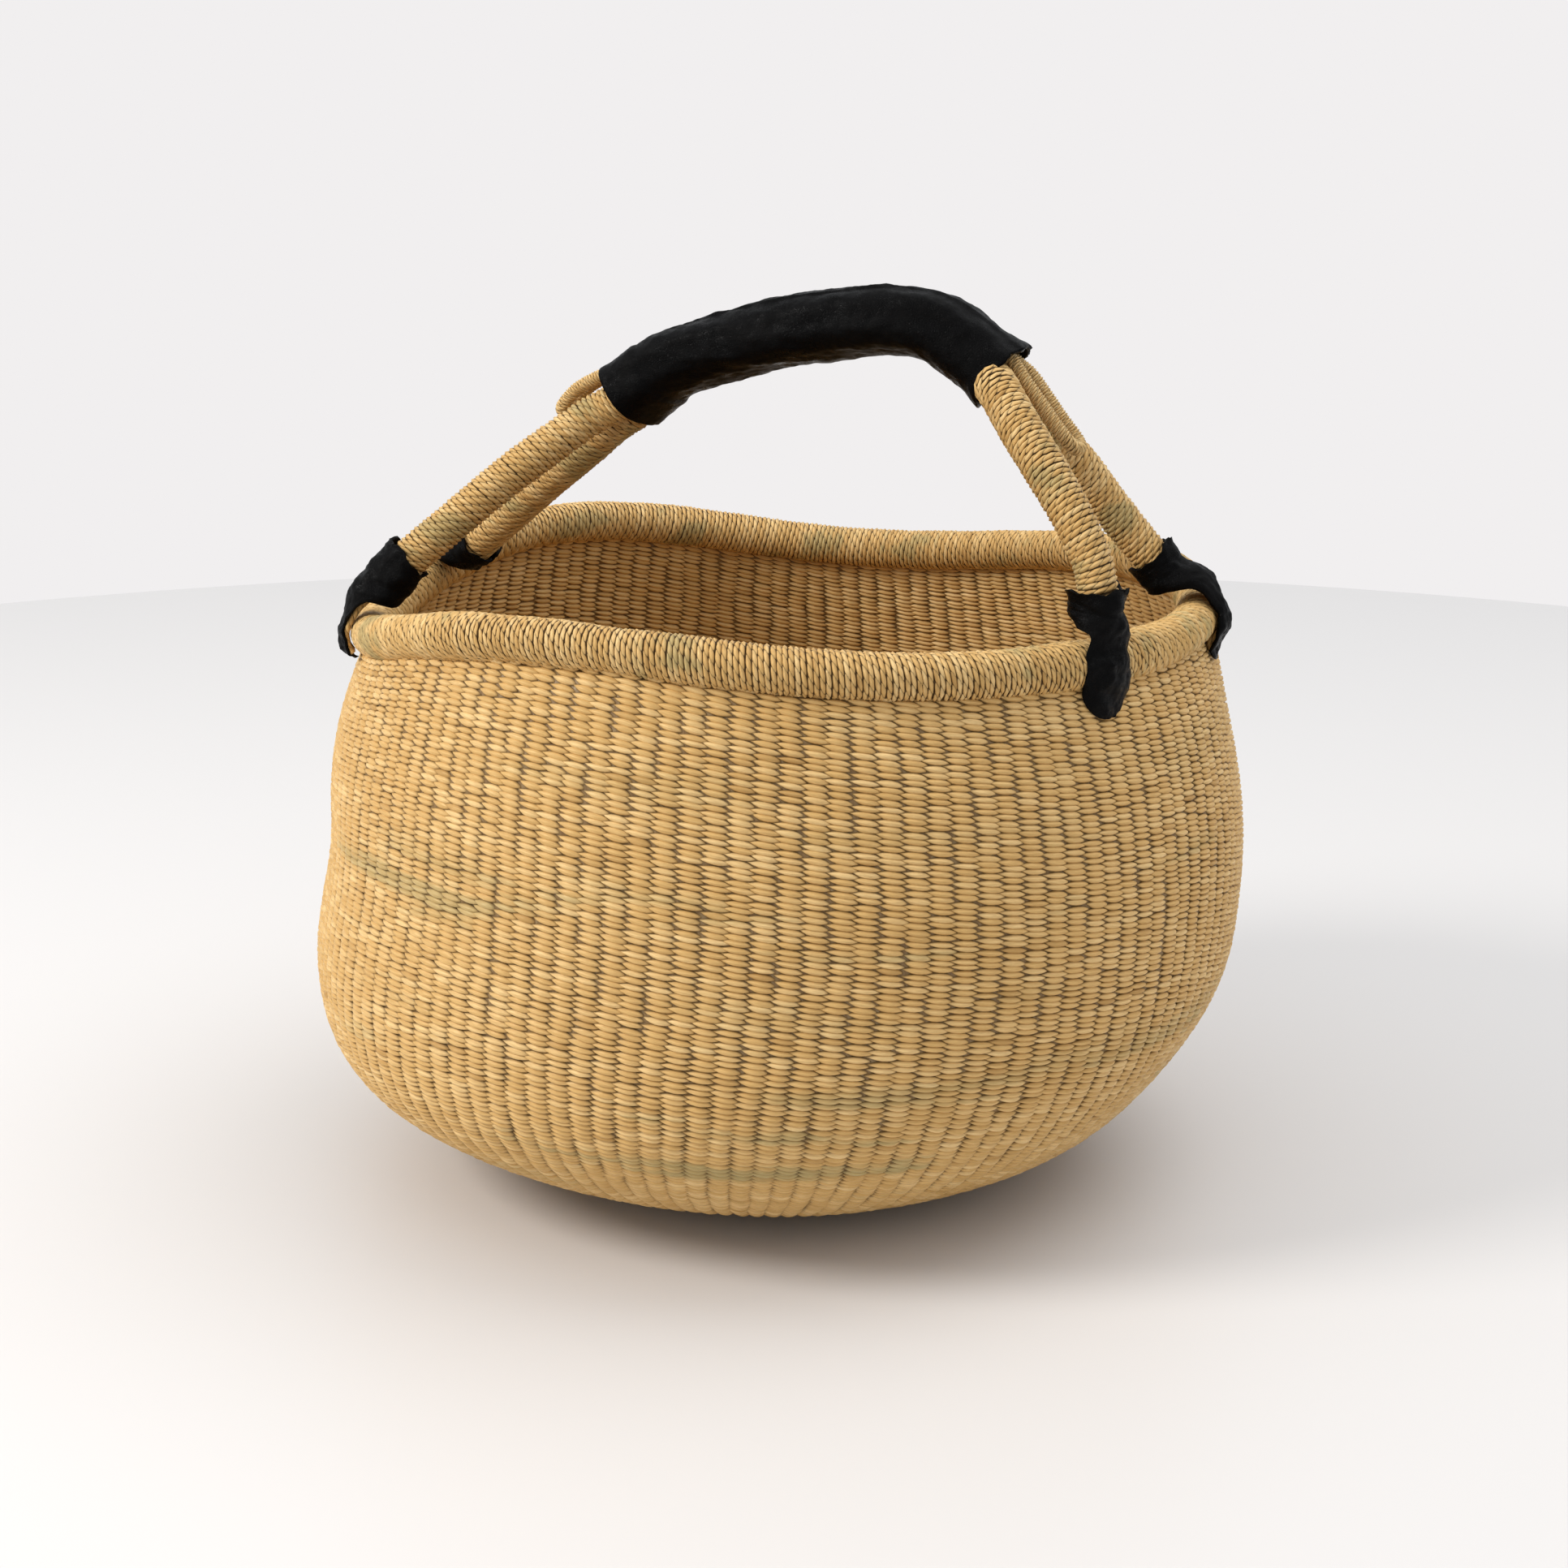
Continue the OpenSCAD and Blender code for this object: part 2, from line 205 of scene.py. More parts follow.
class Body:
    """Outer surface of the basket, by angle, distance along the profile and distance out."""

    lower_power, lower_rise, upper_power, wave_power = 1.16, 0.77, 2.3, 1.5
    lean_angle = math.radians(21.5)
    # height in mm, number round the rim, phase in degrees
    waves = ((3.0, 1, 68.5), (2.8, 2, 137.0), (7.0, 3, -86.0), (3.0, 4, 110.0))
    # height in mm, number round the body, phase, twist with height
    lumps = ((0.9, 3, 2.1, 9.0), (0.7, 5, 0.4, -14.0), (0.5, 8, 4.0, 21.0))
    steps = 4001  # points of the profile; its lower half ends at the belly

    def __init__(self):
        s = settings().shape
        self.s = s
        u = np.linspace(0, 1, self.steps)
        sine = np.clip(np.sin(math.pi * u), 0, 1) ** self.lower_power
        cosine = np.clip(np.cos(math.pi * u), 0, 1) ** self.lower_rise
        t = np.clip(2 * u - 1, 0, 1)
        top = s.mouth_radius + MM
        lower_r = s.base_radius + (s.belly_radius - s.base_radius) * sine
        upper_r = s.belly_radius - (s.belly_radius - top) * t**self.upper_power
        lower_z = s.belly_height * (1 - cosine)
        upper_z = s.belly_height + (s.mouth_height - s.belly_height) * t
        self.r = np.where(u < 0.5, lower_r, upper_r)
        self.z = np.where(u < 0.5, lower_z, upper_z)
        dr, dz = np.gradient(self.r), np.gradient(self.z)
        size = np.maximum(np.hypot(dr, dz), 1e-9)
        self.nr, self.nz = dz / size, -dr / size
        self.along = np.concatenate([[0], np.cumsum(np.hypot(np.diff(self.r), np.diff(self.z)))])

    def wave(self, a):
        return MM * sum(h * np.cos(k * a + math.radians(p)) for h, k, p in self.waves)

    def uneven(self, a, z):
        """Dents low and high on the left, a bulge low on the right, and small lumps all round."""
        left = np.clip(-np.cos(a - self.lean_angle), 0, 1) ** 2
        right = np.clip(np.cos(a - self.lean_angle), 0, 1) ** 2
        dent = left * (0.7 * hump(z, 0.045, 0.025) - hump(z, 0.15, 0.028))
        dent = self.s.dent * (dent - 0.8 * right * hump(z, 0.055, 0.025))
        soft = ease(z / 0.05) * (1 - ease((z - 0.2) / 0.04))
        return dent + MM * soft * sum(h * np.sin(k * a + p + z * f) for h, k, p, f in self.lumps)

    def place(self, a, r, z):
        """A point of the round profile, leaning, settled and following the wave of the rim."""
        s = self.s
        shift = s.lean * ease(z / s.lean_height)
        settled = s.settle * np.cos(a - self.lean_angle) * ease(z / 0.012) * (1 - ease((z - 0.015) / 0.07))
        up = z + self.wave(a) * np.clip(z / s.mouth_height, 0, None) ** self.wave_power - settled
        x = r * np.cos(a) + shift * math.cos(self.lean_angle)
        y = r * np.sin(a) + shift * math.sin(self.lean_angle)
        return np.stack([x, y, up], -1)

    def at(self, a, along, out=0.0):
        r, z, nr, nz = (np.interp(along, self.along, v) for v in (self.r, self.z, self.nr, self.nz))
        return self.place(a, r + self.uneven(a, z) + out * nr, z + out * nz)

    def rim(self, a):
        return self.place(a, self.s.mouth_radius, np.full_like(a, self.s.mouth_height))

    def wall_radius(self, z):
        s = self.s
        t = (z - s.belly_height) / (s.mouth_height - s.belly_height)
        return s.belly_radius - (s.belly_radius - s.mouth_radius - MM) * t**self.upper_power

    def distance_to(self, radius):
        """Distance along the lower profile to a radius."""
        half = self.steps // 2
        return float(np.interp(radius, self.r[:half], self.along[:half]))

# ---------------------------------------------------------------- meshes
def grid_faces(rows, columns, close_rows=False, close_columns=False):
    i, j = np.arange(rows - (not close_rows)), np.arange(columns - (not close_columns))
    i, j = (k.ravel() for k in np.meshgrid(i, j, indexing="ij"))
    k, m = (i + 1) % rows, (j + 1) % columns
    return np.stack([i * columns + j, i * columns + m, k * columns + m, k * columns + j], 1)


def mesh_of(name, verts, faces, edges=()):
    mesh = bpy.data.meshes.new(name)
    faces = np.asarray(faces).tolist() if len(faces) else []
    mesh.from_pydata(np.asarray(verts, float).reshape(-1, 3).tolist(), list(edges), faces)
    mesh.update()
    return mesh


def face_outwards(mesh):
    """Turns a closed mesh's faces outwards, after merging what touches."""
    bm = bmesh.new()
    bm.from_mesh(mesh)
    bmesh.ops.remove_doubles(bm, verts=bm.verts, dist=1e-6)
    bmesh.ops.recalc_face_normals(bm, faces=bm.faces)
    bm.to_mesh(mesh)
    bm.free()
    mesh.update()


def store(mesh, name, values, kind="FLOAT"):
    layer = mesh.attributes.new(name, kind, "POINT")
    key = "value" if kind == "FLOAT" else "vector"
    layer.data.foreach_set(key, np.asarray(values, np.float32).ravel())


def link(name, mesh):
    made = bpy.data.objects.new(name, mesh)
    bpy.context.scene.collection.objects.link(made)
    return made


def finish_piece(name, mesh, replaces=(), material=None):
    mesh.name = name
    if material is not None:
        mesh.materials.clear()
        mesh.materials.append(material)
    mesh.polygons.foreach_set("use_smooth", [True] * len(mesh.polygons))
    piece = link(name, mesh)
    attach(piece, ROOT)
    if replaces:
        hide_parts(*replaces)
    return piece


# ---------------------------------------------------------------- node building
class Wiring:
    """Adds nodes to a tree and links them."""

    def __init__(self, tree):
        self.tree = tree

    def put(self, socket, value):
        if isinstance(value, bpy.types.NodeSocket):
            self.tree.links.new(value, socket)
        elif value is not None:
            socket.default_value = value

    def add(self, kind, props=None, inputs=None):
        node = self.tree.nodes.new(kind)
        for key, value in (props or {}).items():
            setattr(node, key, value)
        for key, value in (inputs or {}).items():
            if isinstance(key, int):
                socket = node.inputs[key]
            else:
                socket = next(s for s in node.inputs if s.name == key and s.enabled)
            self.put(socket, value)
        return node

    def out(self, kind, props=None, inputs=None, name=None):
        node = self.add(kind, props, inputs)
        return next(s for s in node.outputs if s.enabled and (name is None or s.name == name))

    def math(self, operation, *values):
        return self.out("ShaderNodeMath", {"operation": operation}, dict(enumerate(values)))

    def plus(self, a, b):
        return self.math("ADD", a, b)

    def minus(self, a, b):
        return self.math("SUBTRACT", a, b)

    def times(self, a, b):
        return self.math("MULTIPLY", a, b)

    def over(self, a, b):
        return self.math("DIVIDE", a, b)

    def vector(self, x, y, z):
        return self.out("ShaderNodeCombineXYZ", None, {0: x, 1: y, 2: z})

    def split(self, vector):
        return self.add("ShaderNodeSeparateXYZ", None, {0: vector}).outputs

    def vmath(self, operation, *values):
        return self.out("ShaderNodeVectorMath", {"operation": operation}, dict(enumerate(values)))

    def scale(self, vector, factor):
        return self.out("ShaderNodeVectorMath", {"operation": "SCALE"}, {0: vector, 3: factor})

    def blend(self, factor, a, b):
        return self.add("ShaderNodeMix", {"data_type": "RGBA"}, {0: factor, 6: a, 7: b}).outputs[2]

    def span(self, value, low, high, to_low=0.0, to_high=1.0):
        """Eases a value from one range to another, and holds it at both ends."""
        inputs = {0: value, 1: low, 2: high, 3: to_low, 4: to_high}
        return self.out("ShaderNodeMapRange", {"interpolation_type": "SMOOTHSTEP"}, inputs)

    def noise(self, vector, scale, detail=2.0, roughness=0.5):
        inputs = {"Vector": vector, "Scale": scale, "Detail": detail, "Roughness": roughness}
        return self.out("ShaderNodeTexNoise", None, inputs)

    def chance(self, low, high, seed, kind="FLOAT"):
        """A random value for each element."""
        inputs = {"Min": low, "Max": high, "Seed": seed}
        return self.out("FunctionNodeRandomValue", {"data_type": kind}, inputs)

    def mark(self, geometry, name, value, kind="FLOAT"):
        """Stores a value on each point."""
        inputs = {"Geometry": geometry, "Name": name, "Value": value}
        return self.out("GeometryNodeStoreNamedAttribute", {"domain": "POINT", "data_type": kind}, inputs)

    def read(self, name, kind="FLOAT"):
        return self.out("GeometryNodeInputNamedAttribute", {"data_type": kind}, {"Name": name})

    def circle(self, points, radius, name):
        """A round curve that carries its own factor under a name."""
        inputs = {"Resolution": points, "Radius": radius}
        ring = self.out("GeometryNodeCurvePrimitiveCircle", {"mode": "RADIUS"}, inputs)
        return self.mark(ring, name, self.out("GeometryNodeSplineParameter", name="Factor"))

    def turn(self, x, y, z):
        return self.out("FunctionNodeEulerToRotation", None, {0: self.vector(x, y, z)})

    def finish(self, end, geometry, material):
        geometry = self.out("GeometryNodeSetMaterial", None, {"Geometry": geometry, "Material": material})
        self.put(end, geometry)
        return self.tree


def geometry_tree(name, inputs):
    tree = bpy.data.node_groups.new(name, "GeometryNodeTree")
    tree.interface.new_socket("Geometry", in_out="INPUT", socket_type="NodeSocketGeometry")
    tree.interface.new_socket("Geometry", in_out="OUTPUT", socket_type="NodeSocketGeometry")
    for label, kind in inputs:
        tree.interface.new_socket(label, in_out="INPUT", socket_type="NodeSocket" + kind)
    w = Wiring(tree)
    given = {s.name: s for s in w.add("NodeGroupInput").outputs if s.name}
    end = w.add("NodeGroupOutput")
    return w, given, end.inputs[0]


def grow(carrier, tree, values):
    """Runs a tree on the carrier and gives the result as a plain mesh."""
    modifier = carrier.modifiers.new("Grow", "NODES")
    modifier.node_group = tree
    for item in tree.interface.items_tree:
        if item.in_out == "INPUT" and item.name in values:
            modifier[item.identifier] = values[item.name]
    graph = bpy.context.evaluated_depsgraph_get()
    grown = carrier.evaluated_get(graph)
    mesh = bpy.data.meshes.new_from_object(grown, preserve_all_data_layers=True, depsgraph=graph)
    carrier.modifiers.remove(modifier)
    return mesh


def once(maker):
    """Builds a tree or material the first time it is wanted."""
    made = []

    def get():
        if not made:
            made.append(maker())
        return made[0]

    return get


STITCH_HALF = 0.68  # half the length of a stitch, in stakes
STITCH_TALL = 1.34  # its height, in rows


@once
def twining_tree():
    """Rows of stitches, laid out flat in stakes and rows, then carried onto a form."""
    w, given, end = geometry_tree(
        "Twined Rows",
        [
            *((name, "Int") for name in ("Stakes", "First Row", "Rows", "All Rows", "Seed", "Facets")),
            *((name, "Float") for name in ("Slant", "Lift", "Sink", "Jitter")),
            ("Material", "Material"),
        ],
    )
    stakes, jitter, seed = given["Stakes"], given["Jitter"], given["Seed"]
    index = w.out("GeometryNodeInputIndex")
    column = w.math("FLOORED_MODULO", index, stakes)
    row = w.math("FLOOR", w.over(w.plus(index, 0.25), stakes))
    height = w.plus(w.plus(given["First Row"], row), w.plus(w.over(column, stakes), 0.5))

    def chance(low, high, extra, kind="FLOAT"):
        return w.chance(low, high, w.plus(seed, extra), kind)

    shift = w.times(jitter, chance(-1.3, 1.3, 1))
    drift = w.noise(w.vector(w.times(column, 0.8), w.times(row, 0.11), seed), 1.0)
    sway = w.times(w.minus(drift, 0.5), 0.55)
    spot = w.vector(w.plus(w.plus(column, 0.5), sway), w.plus(height, shift), 0.0)
    strands = w.noise(w.vector(w.times(column, 0.16), w.times(row, 0.85), seed), 1.0)
    tone = w.plus(w.times(chance(0.0, 1.0, 2), 0.5), w.times(w.span(strands, 0.3, 0.7), 0.5))
    count = w.times(stakes, given["Rows"])
    points = w.out("GeometryNodePoints", None, {"Count": count, "Position": spot})
    points = w.mark(points, "tone", tone)

    sizes = {"Size X": 2 * STITCH_HALF, "Size Y": STITCH_TALL}
    cuts = {"Vertices X": w.plus(given["Facets"], 1), "Vertices Y": 4}
    grid = w.out("GeometryNodeMeshGrid", None, {**sizes, **cuts})
    x, y, _ = w.split(w.out("GeometryNodeInputPosition"))
    t = w.over(x, STITCH_HALF)
    q = w.over(y, STITCH_TALL / 2)
    full = w.math("MAXIMUM", w.minus(1.0, w.times(t, t)), 0.0)
    round_over = w.minus(1.0, w.times(w.times(q, q), 0.85))
    tip = w.times(w.times(t, w.minus(1.0, full)), -0.28)
    crest = w.times(w.plus(w.math("POWER", full, 0.9), tip), round_over)
    tall = w.times(y, w.math("MULTIPLY_ADD", w.math("POWER", full, 1.15), 0.9, 0.1))
    curl = w.plus(w.times(t, 0.4), w.times(w.math("POWER", t, 3.0), 0.25))
    fall = w.minus(tall, w.times(given["Slant"], curl))
    rise = w.minus(w.times(crest, w.plus(given["Lift"], given["Sink"])), given["Sink"])
    # The crest also goes to the straw material as its Depth: its low values, at the edges, the lowered right
    # tips and the grooves between rows, are painted dark as shade.
    grid = w.mark(grid, "crest", crest)
    grid = w.mark(grid, "strand", w.vector(t, q, 0.0), "FLOAT_VECTOR")
    stitch = w.out("GeometryNodeSetPosition", None, {"Geometry": grid, "Position": w.vector(x, fall, rise)})

    inputs = {
        "Points": points,
        "Instance": stitch,
        "Rotation": w.turn(0.0, 0.0, w.times(jitter, chance(-1.2, 1.2, 4))),
        "Scale": chance((0.96, 0.86, 0.82), (1.05, 1.1, 1.16), 3, "FLOAT_VECTOR"),
    }
    spread = w.out("GeometryNodeInstanceOnPoints", None, inputs)
    real = w.out("GeometryNodeRealizeInstances", None, {"Geometry": spread})

    flat_x, flat_y, flat_z = w.split(w.out("GeometryNodeInputPosition"))
    u = w.math("FRACT", w.over(flat_x, stakes))
    v = w.math("MINIMUM", w.math("MAXIMUM", w.over(flat_y, given["All Rows"]), 0.001), 0.999)
    at = {"UV Map": w.read("form", "FLOAT_VECTOR"), "Sample UV": w.vector(u, v, 0.0)}

    def sample(value):
        inputs = {"Mesh": given["Geometry"], "Value": value, **at}
        return w.out("GeometryNodeSampleUVSurface", {"data_type": "FLOAT_VECTOR"}, inputs)

    out = w.scale(sample(w.read("out", "FLOAT_VECTOR")), w.times(flat_z, MM))
    lifted = w.vmath("ADD", sample(w.out("GeometryNodeInputPosition")), out)
    real = w.out("GeometryNodeSetPosition", None, {"Geometry": real, "Position": lifted})
    return w.finish(end, real, given["Material"])


@once
def wrap_tree():
    """Rings of cord along a path, each leaning and turned a little from the last."""
    w, given, end = geometry_tree(
        "Cord Wraps",
        [
            *((name, "Int") for name in ("Count", "Seed", "Steps", "Sides")),
            *((name, "Float") for name in ("Roll Radius", "Cord Radius", "Lean", "Spin", "Jitter")),
            ("Material", "Material"),
        ],
    )
    radius, cord, jitter = given["Roll Radius"], given["Cord Radius"], given["Jitter"]
    path = w.out("GeometryNodeMeshToCurve", None, {"Mesh": given["Geometry"]})
    path = w.out("GeometryNodeSetCurveNormal", {"mode": "Z_UP"}, {"Curve": path})
    inputs = {"Curve": path, "Count": given["Count"]}
    places = w.add("GeometryNodeCurveToPoints", {"mode": "COUNT"}, inputs)

    def chance(low, high, extra):
        return w.chance(low, high, w.plus(given["Seed"], extra))

    def uneven(spread, extra):
        return w.times(jitter, chance(-spread, spread, extra))

    points = w.mark(places.outputs["Points"], "tone", chance(0.0, 1.0, 1))
    ring = w.circle(given["Steps"], radius, "around")
    profile = w.circle(given["Sides"], cord, "cross")
    wrap = w.out("GeometryNodeCurveToMesh", None, {"Curve": ring, "Profile Curve": profile})
    flat = w.vmath("MULTIPLY", w.out("GeometryNodeInputPosition"), (1.0, 1.0, 0.0))
    reach = w.add("ShaderNodeVectorMath", {"operation": "LENGTH"}, {0: flat}).outputs["Value"]
    # The crest, how far out a point lies from the roll, also sets the painted shade in the grooves and slits
    # of the cord material.
    wrap = w.mark(wrap, "crest", w.over(w.minus(reach, radius), cord))
    wide = w.times(w.read("girth"), w.plus(1.0, uneven(0.3, 2)))
    tilt = w.turn(w.plus(given["Lean"], uneven(0.5, 3)), uneven(0.5, 4), 0.0)
    step = w.plus(w.out("GeometryNodeInputIndex"), uneven(0.8, 5))
    spin = w.turn(0.0, 0.0, w.times(step, given["Spin"]))
    facing = places.outputs["Rotation"]
    for turn in (tilt, spin):
        inputs = {"Rotation": facing, "Rotate By": turn}
        facing = w.out("FunctionNodeRotateRotation", {"rotation_space": "LOCAL"}, inputs)
    inputs = {"Points": points, "Instance": wrap, "Rotation": facing, "Scale": w.vector(wide, wide, 1.0)}
    spread = w.out("GeometryNodeInstanceOnPoints", None, inputs)
    real = w.out("GeometryNodeRealizeInstances", None, {"Geometry": spread})
    return w.finish(end, real, given["Material"])


@once
def cord_tree():
    """One cord laid along a path, closed at both ends."""
    inputs = [("Cord Radius", "Float"), ("Sides", "Int"), ("Material", "Material")]
    w, given, end = geometry_tree("Laid Cords", inputs)
    path = w.out("GeometryNodeMeshToCurve", None, {"Mesh": given["Geometry"]})
    path = w.mark(path, "around", w.out("GeometryNodeSplineParameter", name="Factor"))
    cord = w.circle(given["Sides"], given["Cord Radius"], "cross")
    inputs = {"Curve": path, "Profile Curve": cord, "Fill Caps": True}
    laid = w.out("GeometryNodeCurveToMesh", None, inputs)
    real = w.out("GeometryNodeRealizeInstances", None, {"Geometry": laid})
    return w.finish(end, real, given["Material"])

# ---------------------------------------------------------------- materials
def shader_group(name, inputs, outputs):
    tree = bpy.data.node_groups.new(name, "ShaderNodeTree")
    for label, kind, value in inputs:
        socket = tree.interface.new_socket(label, in_out="INPUT", socket_type="NodeSocket" + kind)
        if value is not None:
            socket.default_value = value
    for label, kind in outputs:
        tree.interface.new_socket(label, in_out="OUTPUT", socket_type="NodeSocket" + kind)
    w = Wiring(tree)
    given = {s.name: s for s in w.add("NodeGroupInput").outputs if s.name}
    ends = {s.name: s for s in w.add("NodeGroupOutput").inputs if s.name}
    return w, given, ends


STRAW_INPUTS = (
    ("Tone", "Float", 0.5),
    ("Depth", "Float", 1.0),
    ("Grain", "Vector", None),
    ("Place", "Vector", None),
    ("Green", "Float", 0.5),
)
SURFACE_OUTPUTS = (("Color", "Color"), ("Roughness", "Float"), ("Height", "Float"))


@once
def straw_group():
    """Colour, roughness and grain of dried grass: a tone for each strand, greenish bands, and painted shade
    that darkens the gaps.
    """
    c = settings().colours
    w, given, ends = shader_group("Dried Grass", STRAW_INPUTS, SURFACE_OUTPUTS)
    shades = (c.straw_light, c.straw_mid, c.straw_dark, c.straw_green, c.gap_shade_colour)
    light, mid, dark, green, gap_shade = ((*v, 1.0) for v in shades)
    tone, place = given["Tone"], given["Place"]
    base = w.blend(w.span(tone, 0.35, 1.0), mid, light)
    base = w.blend(w.span(tone, 0.22, 0.0, 0.0, 0.75), base, dark)
    wide = w.noise(w.vmath("MULTIPLY", place, (7.0, 7.0, 60.0)), 1.0)
    broad = w.noise(w.vmath("ADD", w.scale(place, 5.0), (3.1, 7.7, 1.3)), 1.0, 1.0)
    band = w.span(w.plus(wide, w.times(w.minus(tone, 0.5), 0.10)), 0.56, 0.66)
    base = w.blend(w.times(band, given["Green"]), base, green)
    base = w.blend(w.span(broad, 0.3, 0.7, 0.0, 0.22), base, mid)
    streak = w.noise(given["Grain"], 1.0, 3.0, 0.6)
    base = w.blend(w.span(streak, 0.35, 0.65, 0.32, 0.0), base, dark)
    base = w.blend(w.span(streak, 0.55, 0.75, 0.0, 0.25), base, light)
    # Painted shade: where the Depth is low, at stitch edges, tips, grooves and slits, the colour goes
    # towards the dark shade colour of the gaps.
    base = w.blend(w.span(given["Depth"], 0.0, 0.62, 0.95, 0.0), base, gap_shade)
    w.put(ends["Color"], base)
    w.put(ends["Roughness"], w.span(streak, 0.3, 0.7, 0.62, 0.4))
    w.put(ends["Height"], streak)
    return w.tree


@once
def leather_group():
    """Colour, roughness and height of soft black leather: pores, fine creases and rubbed places."""
    c = settings().colours
    inputs = (("Place", "Vector", None), ("Wear", "Float", 0.4))
    w, given, ends = shader_group("Soft Leather", inputs, SURFACE_OUTPUTS)
    place = given["Place"]
    inputs = {"Vector": place, "Scale": 1500.0}
    pores = w.out("ShaderNodeTexVoronoi", {"feature": "DISTANCE_TO_EDGE"}, inputs)
    crease = w.noise(w.vmath("MULTIPLY", place, (1.0, 1.0, 1.6)), 210.0, 4.0, 0.62)
    broad = w.noise(place, 55.0, 3.0)
    rubbed = w.span(w.plus(w.times(broad, 0.6), w.times(crease, 0.4)), 0.5, 0.68)
    worn = w.times(rubbed, given["Wear"])
    dull = w.times(w.span(broad, 0.35, 0.65), 0.12)
    w.put(ends["Color"], w.blend(worn, (*c.leather, 1.0), (*c.leather_worn, 1.0)))
    w.put(ends["Roughness"], w.plus(w.span(crease, 0.35, 0.65, 0.2, 0.38), dull))
    w.put(ends["Height"], w.plus(w.times(w.span(pores, 0.0, 0.22), 0.3), crease))
    return w.tree


def new_material(name):
    material = bpy.data.materials.new(name)
    material.use_nodes = True
    tree = material.node_tree
    tree.nodes.clear()
    w = Wiring(tree)
    shader = w.add("ShaderNodeBsdfPrincipled")
    end = w.add("ShaderNodeOutputMaterial")
    w.put(end.inputs["Surface"], shader.outputs[0])
    return material, w, shader


def attribute(w, name, output):
    node = w.add("ShaderNodeAttribute", {"attribute_type": "GEOMETRY", "attribute_name": name})
    return node.outputs[output]


def set_bump(w, shader, height, strength, distance):
    inputs = {"Strength": strength, "Distance": distance, "Height": height}
    w.put(shader.inputs["Normal"], w.out("ShaderNodeBump", None, inputs))


def surface(w, shader, tree, inputs):
    """Places a group of surface effects and gives its height."""
    group = w.add("ShaderNodeGroup", {"node_tree": tree}, inputs)
    w.put(shader.inputs["Base Color"], group.outputs["Color"])
    w.put(shader.inputs["Roughness"], group.outputs["Roughness"])
    return group.outputs["Height"]


def straw_shine(shader):
    shader.inputs["Specular IOR Level"].default_value = 0.4
    shader.inputs["Specular Tint"].default_value = (1.0, 0.86, 0.62, 1.0)


def object_place(w):
    return w.add("ShaderNodeTexCoord").outputs["Object"]


@once
def twined_straw():
    material, w, shader = new_material("twined_straw")
    tone = attribute(w, "tone", "Fac")
    t, q, _ = w.split(attribute(w, "strand", "Vector"))
    place = object_place(w)
    _, _, high = w.split(place)
    low_band = w.span(w.math("ABSOLUTE", w.minus(high, 0.066)), 0.012, 0.036, 0.75, 0.0)
    top_band = w.span(w.math("ABSOLUTE", w.minus(high, 0.158)), 0.006, 0.018, 0.55, 0.0)
    inputs = {
        "Tone": tone,
        # Painted shade: the stitch crest as Depth darkens each stitch's low edges and tips and the grooves
        # between rows.
        "Depth": attribute(w, "crest", "Fac"),
        "Grain": w.vector(w.times(t, 1.1), w.times(q, 3.2), w.times(tone, 97.0)),
        "Place": place,
        "Green": w.plus(w.math("MAXIMUM", low_band, top_band), 0.15),
    }
    height = surface(w, shader, straw_group(), inputs)
    straw_shine(shader)
    set_bump(w, shader, height, 0.35, 0.0003)
    return material


RIM_PLIES, HANDLE_PLIES, LINK_PLIES, FOOT_PLIES = 11, 10, 4, 10  # plies seen round each roll or cord


def cord_material(name, plies, green, deepest=0.25, pale=0.0):
    """Two-ply grass cord: the plies wind round it as slanted stripes, with painted shade in the ply valleys
    and in the grooves between the rings.
    """
    material, w, shader = new_material(name)
    tone, crest = (attribute(w, n, "Fac") for n in ("tone", "crest"))
    around, cross, _ = w.split(w.add("ShaderNodeUVMap", {"uv_map": "wrap"}).outputs[0])
    winding = w.plus(w.times(around, float(plies)), w.times(cross, 2.0))
    ply = w.math("ABSOLUTE", w.math("SINE", w.times(winding, math.pi)))
    shade = w.math("FRACT", w.plus(w.times(w.math("FLOOR", winding), 0.377), tone))
    # Painted shade: dark slits where a ply valley meets the low side of a ring, and darkening along the ply
    # valleys and the grooves between rings; deepest is the crest at and below which the grooves are darkest.
    slit_shade = w.times(w.span(ply, 0.1, 0.95, 0.35, 0.0), w.span(crest, deepest + 0.1, deepest + 0.5, 1.0, 0.0))
    groove_shade = w.times(w.span(ply, 0.0, 0.4, 0.4, 1.0), w.span(crest, deepest, deepest + 0.28, 0.12, 1.0))
    own = w.math("MULTIPLY_ADD", shade, 0.3 * (1 - pale), pale)
    inputs = {
        "Tone": w.plus(w.times(tone, 0.7 * (1 - pale)), own),
        "Depth": w.minus(groove_shade, slit_shade),
        "Grain": w.vector(w.times(around, plies * 1.2), w.times(cross, 3.0), w.times(tone, 83.0)),
        "Place": w.vmath("MULTIPLY", object_place(w), (4.0, 4.0, 0.8)),
        "Green": green,
    }
    streak = surface(w, shader, straw_group(), inputs)
    straw_shine(shader)
    set_bump(w, shader, w.plus(w.math("SQRT", ply), w.times(streak, 0.3)), 1.0, 0.0007)
    return material


@once
def rim_cord():
    return cord_material("rim_cord", RIM_PLIES, 0.85, 0.36)


@once
def handle_cord():
    return cord_material("handle_cord", HANDLE_PLIES, 0.85, 0.28)


@once
def link_cord():
    return cord_material("link_cord", LINK_PLIES, 0.0, -0.5, 0.6)


@once
def foot_cord():
    return cord_material("foot_cord", FOOT_PLIES, 0.2, -2.0)


